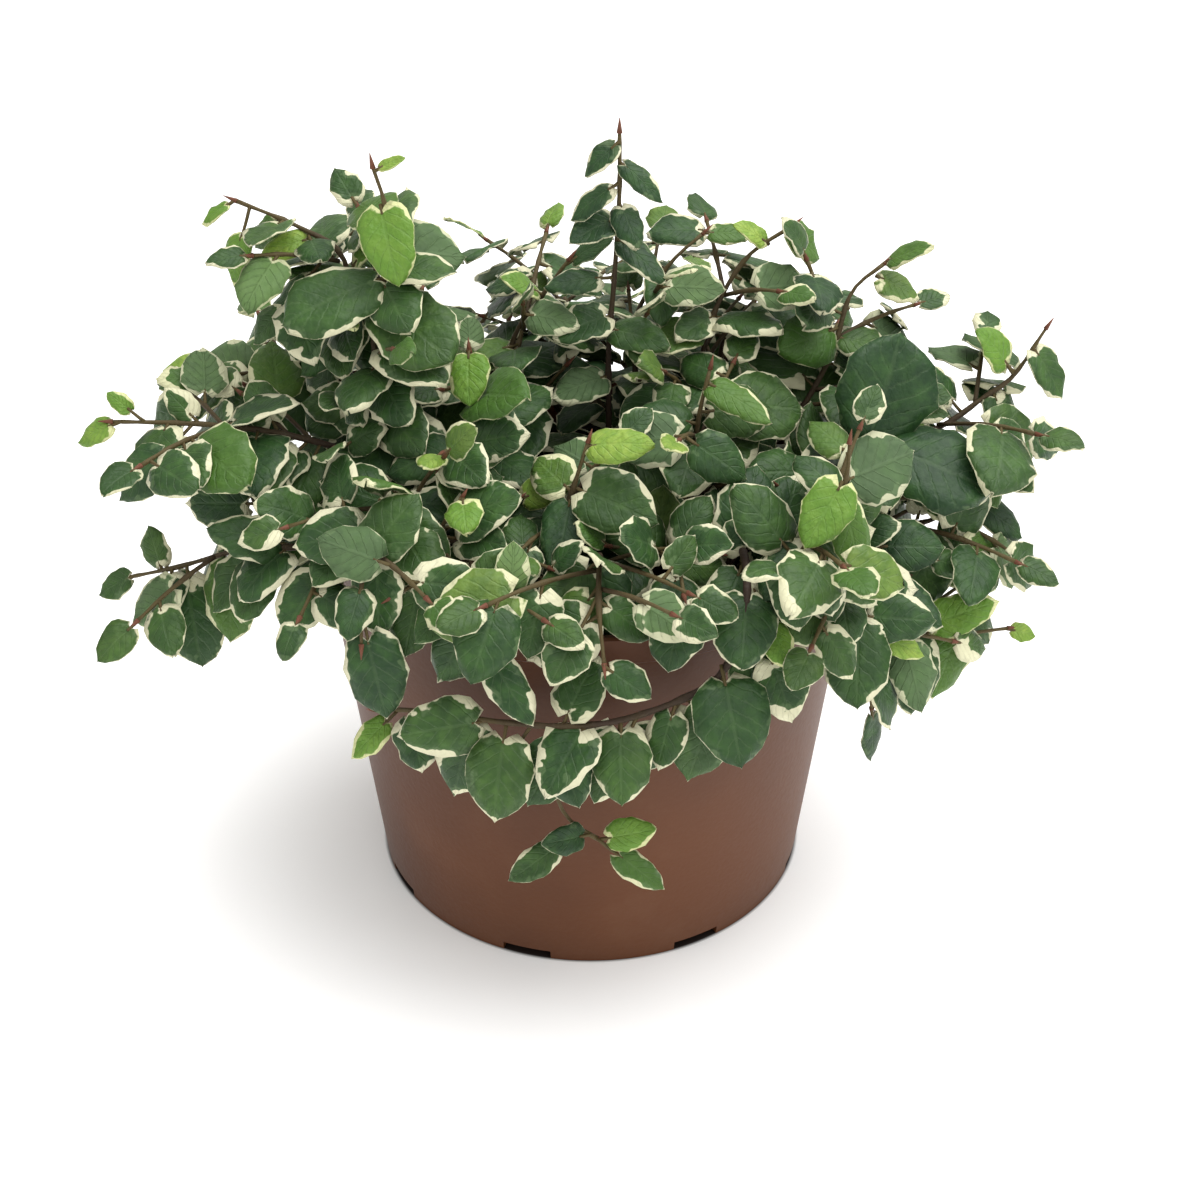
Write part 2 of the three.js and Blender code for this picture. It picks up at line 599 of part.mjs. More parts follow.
function growLeavesOn(axis, number) {
  const count = Math.floor((axis.length * (1 - axis.bare)) / LEAF_SPACING);
  for (let index = axis.leaves.length > 0 ? 1 : 0; index <= count; index += 1) {
    const share = 1 - ((1 - axis.bare) * index) / (count + 0.5);
    const isEnd = index === 0;
    startDraws(number + index);
    const { point, tangent } = pointOn(axis, share);
    const light = lightAt(point);
    const facing = new THREE.Vector3(drawSpread(FACE_SPREAD), drawSpread(FACE_SPREAD), 0);
    facing.z = drawSpread(FACE_LIFT_SPREAD);
    facing.add(light).add(frontAt(point));
    const rank = index % 2 === 0 ? 1 : -1;
    const along = isEnd ? tangent : leafAlong(axis, share, rank, light);
    const grown = Math.min(1, YOUNG_LEAF_SHARE + GROWN_STEP * index);
    const blade = (LEAF_LENGTH + drawSpread(LEAF_LENGTH_SPREAD)) * grown;
    const width = blade * (LEAF_WIDTH_SHARE + drawSpread(WIDTH_SHARE_SPREAD));
    const petiole = PETIOLE_LENGTH * (PETIOLE_LEAST + PETIOLE_SPREAD * nextDraw()) * grown;
    growLeaf(axis, share, along, facing.normalize(), blade, width, petiole, number + index + 20000);
  }
}

STEMS.forEach((stem, stemIndex) => {
  if (STEMS_WITHOUT_MORE.includes(stem.name)) {
    return;
  }
  stem.axes.forEach((axis, axisIndex) => {
    growLeavesOn(axis, 5000 + stemIndex * 200 + axisIndex * 40);
  });
});

// Solids
function toSolid(geometry) {
  geometry.deleteAttribute('normal');
  geometry.deleteAttribute('uv');
  const merged = mergeVertices(geometry, 1e-4);
  return new wasm.Manifold(new wasm.Mesh({
    numProp: 3,
    vertProperties: new Float32Array(merged.attributes.position.array),
    triVerts: new Uint32Array(merged.index.array),
  }));
}

function toGeometry(solid) {
  const mesh = solid.getMesh();
  const geometry = new THREE.BufferGeometry();
  geometry.setAttribute('position', new THREE.BufferAttribute(new Float32Array(mesh.vertProperties), 3));
  geometry.setIndex(new THREE.BufferAttribute(new Uint32Array(mesh.triVerts), 1));
  geometry.computeVertexNormals();
  return geometry;
}

// A stem is a three-sided section drawn along its axis and narrowed towards the tip.
function stemGeometry(axis) {
  const corners = [];
  for (let i = 0; i < STEM_SIDES; i += 1) {
    const angle = (2 * Math.PI * i) / STEM_SIDES;
    corners.push(new THREE.Vector2(Math.cos(angle), Math.sin(angle)));
  }
  const geometry = new THREE.ExtrudeGeometry(new THREE.Shape(corners), {
    steps: axis.steps,
    extrudePath: axis.curve,
    bevelEnabled: false,
  });
  const positions = geometry.attributes.position;
  const vertex = new THREE.Vector3();
  for (let i = 0; i < positions.count; i += 1) {
    vertex.fromBufferAttribute(positions, i);
    let nearest = 0;
    axis.knots.forEach((knot, index) => {
      if (vertex.distanceTo(knot) < vertex.distanceTo(axis.knots[nearest])) {
        nearest = index;
      }
    });
    const knot = axis.knots[nearest];
    vertex.sub(knot).multiplyScalar(radiusOn(axis, nearest / axis.steps)).add(knot);
    positions.setXYZ(i, vertex.x, vertex.y, vertex.z);
  }
  return geometry;
}

// A leaf starts as a point inside the stem and has a three-sided petiole. Its blade is a ladder of rungs
// that are alike on both faces and ends in an upright edge.
function leafGeometry(leaf) {
  const positions = [];
  const indices = [0, 2, 1, 0, 1, 3, 0, 3, 2, 1, 5, 4, 1, 2, 5, 3, 6, 7, 1, 6, 3, 1, 4, 6, 2, 7, 5, 2, 3, 7];
  const addPoint = (reach, side, height) => {
    const point = leafPoint(leaf, reach, side, height);
    positions.push(point.x, point.y, point.z);
  };
  const addRung = (share, sides, waves) => {
    const reach = leaf.petiole + leaf.blade * share;
    const slope = Math.atan(2 * leaf.droop * share);
    [1, -1].forEach((face) => {
      sides.forEach((side, s) => {
        const lift = (face * LEAF_THICKNESS) / 2;
        const height = bladeHeight(leaf, reach) + waves[s] + lift * Math.cos(slope);
        addPoint(reach + lift * Math.sin(slope), side, height);
      });
    });
  };
  addPoint(-ROOT_DEPTH, 0, 0);
  addPoint(leaf.petiole, PETIOLE_WIDTH / 2, LEAF_THICKNESS / 2);
  addPoint(leaf.petiole, -PETIOLE_WIDTH / 2, LEAF_THICKNESS / 2);
  addPoint(leaf.petiole, 0, -LEAF_THICKNESS / 2);
  BLADE_STATIONS.forEach((station, i) => {
    const half = (BLADE_WIDTHS[i] * leaf.width) / 2;
    const [a, b, c, d] = [0, 1, 2, 3].map((corner) => i * 4 + corner);
    const [e, f, g, h] = [a, b, c, d].map((corner) => corner + 4);
    if (i === BLADE_STATIONS.length - 1) {
      addRung(station, [0], [0]);
      indices.push(a, b, e, c, f, d, a, f, c, a, e, f, b, d, f, b, f, e);
      return;
    }
    addRung(station, [half * leaf.cuts[i][0], -half * leaf.cuts[i][1]], leaf.waves[i]);
    if (i > 0) {
      indices.push(a, f, e, a, b, f, c, g, h, c, h, d);
      indices.push(a, g, c, a, e, g, b, h, f, b, d, h);
    }
  });
  const geometry = new THREE.BufferGeometry();
  geometry.setAttribute('position', new THREE.BufferAttribute(new Float32Array(positions), 3));
  geometry.setIndex(indices);
  return geometry;
}

// Pot: one turned shell with a rim band, a raised floor, drainage holes and a notched foot ring
function makePot() {
  const wallAt = (height) => FOOT_RADIUS + ((RIM_RADIUS - RIM_BAND_STEP - FOOT_RADIUS) * height) / POT_HEIGHT;
  const bandFoot = POT_HEIGHT - RIM_BAND_HEIGHT;
  const profile = [
    [0, FLOOR_HEIGHT],
    [FOOT_RADIUS - FOOT_RING_WIDTH, FLOOR_HEIGHT],
    [FOOT_RADIUS - FOOT_RING_WIDTH, 0],
    [FOOT_RADIUS, 0],
    [wallAt(bandFoot), bandFoot],
    [wallAt(bandFoot) + RIM_BAND_STEP, bandFoot + RIM_BAND_STEP],
    [RIM_RADIUS, POT_HEIGHT - LIP_ROUND],
    [RIM_RADIUS - LIP_ROUND, POT_HEIGHT],
    [RIM_RADIUS - RIM_BAND_STEP - WALL + LIP_ROUND, POT_HEIGHT],
    [wallAt(bandFoot) - WALL, bandFoot],
    [wallAt(FLOOR_HEIGHT + WALL) - WALL, FLOOR_HEIGHT + WALL],
    [0, FLOOR_HEIGHT + WALL],
  ].map(([radius, height]) => new THREE.Vector2(radius, height));
  const shell = new THREE.LatheGeometry(profile, POT_SIDES).rotateX(Math.PI / 2);
  let pot = toSolid(shell);
  for (let i = 0; i < NOTCH_COUNT; i += 1) {
    const angle = THREE.MathUtils.degToRad(NOTCH_FIRST_ANGLE + (360 * i) / NOTCH_COUNT);
    const notch = new THREE.BoxGeometry(FOOT_RING_WIDTH * 4, NOTCH_WIDTH, NOTCH_HEIGHT * 2);
    notch.translate(FOOT_RADIUS, 0, 0).rotateZ(angle);
    pot = pot.subtract(toSolid(notch));
  }
  for (let i = 0; i < DRAIN_COUNT; i += 1) {
    const drain = new THREE.CylinderGeometry(DRAIN_RADIUS, DRAIN_RADIUS, WALL * 6, DRAIN_SIDES);
    drain.rotateX(Math.PI / 2).translate(DRAIN_CIRCLE, 0, FLOOR_HEIGHT);
    drain.rotateZ((2 * Math.PI * i) / DRAIN_COUNT);
    pot = pot.subtract(toSolid(drain));
  }
  return toGeometry(pot);
}

// Soil: a plug that follows the wall, slightly crowned, with a plain hole for each stem
function makeSoil() {
  const innerAt = (height) => {
    const outer = FOOT_RADIUS + ((RIM_RADIUS - RIM_BAND_STEP - FOOT_RADIUS) * height) / POT_HEIGHT;
    return outer - WALL - SOIL_GAP;
  };
  const bottom = FLOOR_HEIGHT + WALL + SOIL_GAP;
  const profile = [
    [0, bottom],
    [innerAt(bottom), bottom],
    [innerAt(SOIL_TOP), SOIL_TOP],
    [innerAt(SOIL_TOP) * SOIL_SHOULDER, SOIL_TOP + SOIL_CROWN * SOIL_SHOULDER],
    [0, SOIL_TOP + SOIL_CROWN],
  ].map(([radius, height]) => new THREE.Vector2(radius, height));
  let soil = toSolid(new THREE.LatheGeometry(profile, SOIL_SIDES).rotateX(Math.PI / 2));
  STEMS.forEach((stem) => {
    const radius = STEM_BASE_RADIUS + STEM_HOLE_GAP;
    const hole = new THREE.CylinderGeometry(radius, radius, STEM_HOLE_DEPTH * 2, STEM_HOLE_SIDES);
    hole.rotateX(Math.PI / 2).translate(stem.root[0], stem.root[1], SOIL_TOP + SOIL_CROWN);
    soil = soil.subtract(toSolid(hole));
  });
  return toGeometry(soil);
}

function makeLeafyStem(stem) {
  let solid = null;
  stem.axes.forEach((axis) => {
    const piece = toSolid(stemGeometry(axis));
    solid = solid ? solid.add(piece) : piece;
  });
  leaves.filter((leaf) => leaf.axis.node === stem.name).forEach((leaf) => {
    solid = solid.add(toSolid(leafGeometry(leaf)));
  });
  return toGeometry(solid);
}

const pottedFig = new THREE.Group();

function addPiece(name, geometry, color, roughness) {
  const material = new THREE.MeshStandardMaterial({ color, roughness, metalness: 0, flatShading: true });
  const mesh = new THREE.Mesh(geometry, material);
  mesh.name = name;
  pottedFig.add(mesh);
}

addPiece('pot', makePot(), COLOURS.pot, 0.5);
addPiece('potting_soil', makeSoil(), COLOURS.soil, 0.95);
STEMS.forEach((stem) => addPiece(stem.name, makeLeafyStem(stem), COLOURS.leaf, 0.55));

export default pottedFig;
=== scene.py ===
import math

import bmesh
import bpy
import numpy as np
from mathutils import Matrix, Vector, noise


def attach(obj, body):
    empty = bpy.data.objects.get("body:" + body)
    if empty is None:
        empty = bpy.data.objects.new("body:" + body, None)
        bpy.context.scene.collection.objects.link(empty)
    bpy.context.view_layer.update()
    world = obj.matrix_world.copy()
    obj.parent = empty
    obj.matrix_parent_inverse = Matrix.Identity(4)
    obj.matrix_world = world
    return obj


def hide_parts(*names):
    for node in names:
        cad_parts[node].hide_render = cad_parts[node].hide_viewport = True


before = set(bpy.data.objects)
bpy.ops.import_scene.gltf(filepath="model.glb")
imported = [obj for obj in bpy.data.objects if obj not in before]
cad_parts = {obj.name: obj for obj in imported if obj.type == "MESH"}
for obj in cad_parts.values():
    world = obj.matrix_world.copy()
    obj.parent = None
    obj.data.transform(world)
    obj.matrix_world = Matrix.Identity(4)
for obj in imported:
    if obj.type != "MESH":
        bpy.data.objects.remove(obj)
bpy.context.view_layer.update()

# View: the plant is seen from the front and from above, at about 32 degrees.
# The camera stands 450 mm away and keeps all its lines straight, with no shift.
eye = bpy.data.cameras.new("eye")
eye.lens = 54.9
eye.sensor_width = 36.0
eye.clip_start = 0.01
eye_object = bpy.data.objects.new("eye", eye)
eye_object.location = (0.0022, -0.34972, 0.28319)
eye_object.rotation_euler = (math.radians(57.82), 0.0, 0.0)
bpy.context.scene.collection.objects.link(eye_object)
bpy.context.scene.camera = eye_object

# Light: a big soft lamp over the plant, a weaker one at each side, and a pale room round it.
# None of them is part of the object. A lamp has a name, a power in watts, a width and a place in metres.
LAMPS = (
    ("overhead_lamp", 12.0, 1.0, (0.3, 0.05, 0.95)),
    ("left_lamp", 0.9, 0.7, (-0.75, -0.45, 0.55)),
    ("front_lamp", 2.4, 0.8, (0.45, -0.9, 0.7)),
)
LAMP_AIM = (0.0, 0.0, 0.08)

for name, power, size, place in LAMPS:
    lamp = bpy.data.lights.new(name, "AREA")
    lamp.energy = power
    lamp.size = size
    lamp_object = bpy.data.objects.new(name, lamp)
    lamp_object.location = place
    aim = Vector(LAMP_AIM) - Vector(place)
    lamp_object.rotation_euler = aim.to_track_quat("-Z", "Y").to_euler()
    bpy.context.scene.collection.objects.link(lamp_object)

room = bpy.data.worlds.new("pale_room")
room.use_nodes = True
glow = room.node_tree.nodes["Background"].inputs
glow["Color"].default_value = (1.0, 0.985, 0.955, 1.0)
glow["Strength"].default_value = 0.62
bpy.context.scene.world = room
bpy.context.scene.view_settings.view_transform = "Standard"


# Floor: a wide smooth board, painted off-white, that the pot stands on. It glows as painted light, less
# near the pot as a painted shadow round it, and a painted shadow is dark under the foot, so that the
# notches show dark. It comes first, so it starts with what all the finishes and pieces are made with.
class Tone:
    """A socket of a finish; sums and products of tones add the Math nodes for them."""

    def __init__(self, tree, socket):
        self.tree = tree
        self.socket = socket

    def node(self, kind, settings, values, output=0):
        made = self.tree.nodes.new(kind)
        for name, value in settings.items():
            setattr(made, name, value)
        for place, value in values.items():
            if isinstance(value, Tone):
                self.tree.links.new(value.socket, made.inputs[place])
            else:
                made.inputs[place].default_value = value
        return Tone(self.tree, made.outputs[output])

    def sum_of(self, operation, *terms):
        return self.node("ShaderNodeMath", {"operation": operation}, dict(enumerate(terms)))

    def __add__(self, other):
        return self.sum_of("ADD", self, other)

    def __sub__(self, other):
        return self.sum_of("SUBTRACT", self, other)

    def __rsub__(self, other):
        return self.sum_of("SUBTRACT", other, self)

    def __mul__(self, other):
        return self.sum_of("MULTIPLY", self, other)

    __radd__ = __add__
    __rmul__ = __mul__

    def step(self, low, high):
        """0 below low, 1 above high, and smooth in between."""
        return self.node("ShaderNodeMapRange", {"interpolation_type": "SMOOTHSTEP"},
                         {"Value": self, "From Min": low, "From Max": high})

    def between(self, first, second):
        """The colour between two colours, with this tone as its share."""
        return self.node("ShaderNodeMix", {"data_type": "RGBA"}, {0: self, 6: first, 7: second}, 2)

    def grain(self, scale, detail=2.0, roughness=0.5):
        """Noise on this tone as its place, so many cells to a metre."""
        return self.node("ShaderNodeTexNoise", {},
                         {"Vector": self, "Scale": scale, "Detail": detail, "Roughness": roughness})

    def relief(self, height, distance):
        return self.node("ShaderNodeBump", {}, {"Height": height, "Distance": distance})

    def attribute(self, name, output):
        return self.node("ShaderNodeAttribute", {"attribute_name": name}, {}, output)


def colour(code):
    """A six-digit colour code as linear red, green, blue and one."""
    parts = [int(code[i:i + 2], 16) / 255 for i in (0, 2, 4)]
    return (*((c / 12.92 if c <= 0.04045 else ((c + 0.055) / 1.055) ** 2.4) for c in parts), 1.0)


def start_finish(name, settings):
    """A material, its shader with the fixed settings, and a tone that holds the place in metres."""
    finish = bpy.data.materials.new(name)
    finish.use_nodes = True
    tree = finish.node_tree
    shader = tree.nodes["Principled BSDF"]
    for socket, value in settings.items():
        shader.inputs[socket].default_value = value
    return finish, shader, Tone(tree, tree.nodes.new("ShaderNodeTexCoord").outputs["Object"])


def lay_on(shader, tones):
    for socket, tone in tones.items():
        tone.tree.links.new(tone.socket, shader.inputs[socket])


def add_piece(name, bm, finishes, smooth=True):
    mesh = bpy.data.meshes.new(name)
    bm.to_mesh(mesh)
    bm.free()
    for finish in finishes:
        mesh.materials.append(finish)
    if smooth:
        mesh.shade_smooth()
    piece = bpy.data.objects.new(name, mesh)
    bpy.context.scene.collection.objects.link(piece)
    return piece


FLOOR_PAINTS = (colour("f4f4f4"), colour("fafafa"))
PAINTED_FOOT_SHADOW = colour("241c18")
PAINTED_LIGHT_GLOWS = (colour("8c8c8c"), colour("ffffff"))
GLOW_IN_PAINTED_FOOT_SHADOW = colour("000000")
PAINTED_FOOT_SHADOW_EDGE = (0.0492, 0.0504)
PAINTED_SHADOW_FADE = (0.045, 0.13)

floor_paint_and_painted_light, floor_shader, place = start_finish("floor_paint_and_painted_light", {
    "Specular IOR Level": 0.2, "Emission Strength": 0.45})
speck = place.grain(6.0)
from_pot = place.node("ShaderNodeVectorMath", {"operation": "LENGTH"}, {0: place}, 1)
# Painted shadow: the floor's colour and glow are dark under the pot's foot and just round it.
outside_painted_foot_shadow = from_pot.step(*PAINTED_FOOT_SHADOW_EDGE)
lay_on(floor_shader, {
    "Base Color": outside_painted_foot_shadow.between(PAINTED_FOOT_SHADOW, speck.between(*FLOOR_PAINTS)),
    # Painted light: the floor glows. The glow is grey near the pot as a painted shadow and white further
    # away.
    "Emission Color": outside_painted_foot_shadow.between(GLOW_IN_PAINTED_FOOT_SHADOW, from_pot.step(*PAINTED_SHADOW_FADE).between(*PAINTED_LIGHT_GLOWS)),
    "Roughness": speck * 0.1 + 0.7,
})
bm = bmesh.new()
bmesh.ops.create_grid(bm, x_segments=1, y_segments=1, size=4.0)
add_piece("floor_board", bm, [floor_paint_and_painted_light])

# Pot: a thin nursery pot, moulded in terracotta-brown plastic, with a rim band and a notched foot.
# It comes out of its mould in one piece, so its wall is even and its edges are a little rounded.
MM = 0.001
POT_HEIGHT = 92.0
RIM_RADIUS = 60.0
FOOT_RADIUS = 49.5
WALL = 1.2
BAND_HEIGHT = 7.0
BAND_STEP = 0.7
LIP_ROUND = 0.5
FLOOR_HEIGHT = 3.0
FOOT_RING_WIDTH = 3.0
INNER_RING = 40
NOTCHES = 8
NOTCH_WIDTH = 11.0
NOTCH_HEIGHT = 2.2
NOTCH_FIRST_ANGLE = -106.5
DRAINS = 6
DRAIN_RADIUS = 3.2
DRAIN_CIRCLE = 36.0
EDGE_ANGLE = math.radians(28)
POT_BROWNS = (colour("502d17"), colour("5e371e"))
POT_DUST = colour("745540")


def wall_at(height):
    return FOOT_RADIUS + (RIM_RADIUS - BAND_STEP - FOOT_RADIUS) * height / POT_HEIGHT


def turn_profile(bm, profile, segments):
    """Spins a row of (radius, height) points, in millimetres, once round the pot's axis."""
    row = [bm.verts.new((radius * MM, 0.0, height * MM)) for radius, height in profile]
    edges = [bm.edges.new(pair) for pair in zip(row, row[1:])]
    bmesh.ops.spin(bm, geom=row + edges, axis=(0, 0, 1), cent=(0, 0, 0),
                   angle=2 * math.pi, steps=segments, use_merge=True)
    bmesh.ops.remove_doubles(bm, verts=bm.verts, dist=1e-6)
    bmesh.ops.recalc_face_normals(bm, faces=bm.faces)


band_foot = POT_HEIGHT - BAND_HEIGHT
pot_profile = [
    (0, FLOOR_HEIGHT),
    (FOOT_RADIUS - FOOT_RING_WIDTH, FLOOR_HEIGHT),
    (FOOT_RADIUS - FOOT_RING_WIDTH, 0),
    (FOOT_RADIUS, 0),
    *[(wall_at(height), height) for height in (12, 30, 50, 70, band_foot)],
    (wall_at(band_foot) + BAND_STEP, band_foot + BAND_STEP),
    (RIM_RADIUS, POT_HEIGHT - LIP_ROUND),
    (RIM_RADIUS - LIP_ROUND, POT_HEIGHT),
    (RIM_RADIUS - BAND_STEP - WALL + LIP_ROUND, POT_HEIGHT),
    (wall_at(band_foot) - WALL, band_foot),
    (wall_at(INNER_RING) - WALL, INNER_RING),
    (wall_at(FLOOR_HEIGHT + WALL) - WALL, FLOOR_HEIGHT + WALL),
    (0, FLOOR_HEIGHT + WALL),
]
bm = bmesh.new()
turn_profile(bm, pot_profile, segments=144)
cutters = bmesh.new()
for i in range(NOTCHES):
    turn = Matrix.Rotation(math.radians(NOTCH_FIRST_ANGLE + 360 * i / NOTCHES), 4, "Z")
    block = Matrix.Diagonal((12 * MM, NOTCH_WIDTH * MM, NOTCH_HEIGHT * 2 * MM, 1))
    bmesh.ops.create_cube(cutters, matrix=turn @ Matrix.Translation((FOOT_RADIUS * MM, 0, 0)) @ block)
for i in range(DRAINS):
    turn = Matrix.Rotation(2 * math.pi * i / DRAINS, 4, "Z")
    spot = turn @ Matrix.Translation((DRAIN_CIRCLE * MM, 0, FLOOR_HEIGHT * MM))
    bmesh.ops.create_cone(cutters, cap_ends=True, segments=24, radius1=DRAIN_RADIUS * MM,
                          radius2=DRAIN_RADIUS * MM, depth=8 * MM, matrix=spot)

pot_plastic, pot_shader, place = start_finish("pot_plastic", {"Specular IOR Level": 0.25})
cloudy = place.grain(14.0, 3.0)
fine = place.grain(900.0, 2.0)
body_colour = cloudy.step(0.35, 0.65).between(*POT_BROWNS)
dusted = (place.grain(55.0, 4.0, 0.65).step(0.5, 0.85) * 0.2).between(body_colour, POT_DUST)
lay_on(pot_shader, {
    "Base Color": dusted,
    "Roughness": cloudy * 0.2 + fine * 0.1 + 0.34,
    "Normal": place.relief(fine, 0.00006),
})
pot = add_piece("nursery_pot", bm, [pot_plastic], smooth=False)
cutter = add_piece("pot_cutters", cutters, [])
cut = pot.modifiers.new("notches_and_drains", "BOOLEAN")
cut.operation = "DIFFERENCE"
cut.solver = "EXACT"
cut.object = cutter
pot_mesh = bpy.data.meshes.new_from_object(pot.evaluated_get(bpy.context.evaluated_depsgraph_get()))
pot.modifiers.clear()
pot.data = pot_mesh
bpy.data.objects.remove(cutter)
pot_mesh.shade_smooth()
pot_mesh.set_sharp_from_angle(angle=EDGE_ANGLE)
edge_round = pot.modifiers.new("rounded_edges", "BEVEL")
edge_round.width = 0.25 * MM
edge_round.segments = 2
edge_round.limit_method = "ANGLE"
edge_round.angle_limit = EDGE_ANGLE
edge_round.harden_normals = True
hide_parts("pot")
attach(pot, "root")

# Soil: dark peat that fills the pot to 13 mm below its rim, crumbly and a little higher in the middle.
# It is pressed in by hand, so its top is uneven. The stems stand in it.
SOIL_TOP = 79.0
SOIL_CROWN = 1.4
SOIL_GAP = 0.5
SOIL_RINGS = (0.96, 0.9, 0.82, 0.74, 0.66, 0.58, 0.5, 0.42, 0.34, 0.26, 0.18, 0.1, 0.04, 0)
SOIL_EDGE = 0.97
LUMPS = ((0.9, 190), (0.7, 520))
PEAT_BROWNS = (colour("1d1613"), colour("3c2e25"))

peat, peat_shader, place = start_finish("peat", {"Specular IOR Level": 0.2})
clod = place.grain(240.0, 4.0, 0.6)
lay_on(peat_shader, {
    "Base Color": clod.step(0.4, 0.7).between(*PEAT_BROWNS),
    "Roughness": clod * 0.1 + 0.85,
    "Normal": place.relief(place.grain(1100.0, 3.0, 0.6), 0.0006),
})
bottom = FLOOR_HEIGHT + WALL + SOIL_GAP
inner_top = wall_at(SOIL_TOP) - WALL - SOIL_GAP
soil_profile = [(0, bottom), (wall_at(bottom) - WALL - SOIL_GAP, bottom), (inner_top, SOIL_TOP)]
soil_profile += [(inner_top * share, SOIL_TOP + SOIL_CROWN * (1 - share ** 2)) for share in SOIL_RINGS]
bm = bmesh.new()
turn_profile(bm, soil_profile, segments=96)
for vert in bm.verts:
    if vert.co.z > (SOIL_TOP - 1) * MM and math.hypot(vert.co.x, vert.co.y) < inner_top * SOIL_EDGE * MM:
        low, high = [height * MM * noise.noise(vert.co * cells) for height, cells in LUMPS]
        vert.co.z += low + high
soil = add_piece("potting_soil_plug", bm, [peat])
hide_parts("potting_soil")
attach(soil, "root")

# Crumbs: loose grains of the same peat, 1 to 3 mm wide, that lie all over the soil.
# They are placed on a spiral with an even spread, and each is a ball, sunk in a little, whose lumps
# follow from the seed.
CRUMBS = 420
CRUMB_TURN = 2.39996
CRUMB_RADIUS = (0.5, 0.9)
CRUMB_EDGE_GAP = 2.5
CRUMB_LIFT = 0.3
CRUMB_LUMPS = (0.35, 900)
CRUMB_SEED = 5

noise.seed_set(CRUMB_SEED)
bm = bmesh.new()
for i in range(CRUMBS):
    turn = i * CRUMB_TURN
    reach = (inner_top - CRUMB_EDGE_GAP) * math.sqrt((i + 0.5) / CRUMBS)
    size = CRUMB_RADIUS[0] + CRUMB_RADIUS[1] * abs(noise.noise((i * 0.37, 1.3, 0.2)))
    height = SOIL_TOP + SOIL_CROWN * (1 - (reach / inner_top) ** 2) + size * CRUMB_LIFT
    spot = Matrix.Translation((reach * math.cos(turn) * MM, reach * math.sin(turn) * MM, height * MM))
    crumb = bmesh.ops.create_icosphere(bm, subdivisions=1, radius=size * MM, matrix=spot)["verts"]
    for vert in crumb:
        vert.co += noise.noise_vector(vert.co * CRUMB_LUMPS[1]) * (CRUMB_LUMPS[0] * size * MM)
crumbs = add_piece("soil_crumbs", bm, [peat], smooth=False)
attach(crumbs, "root")

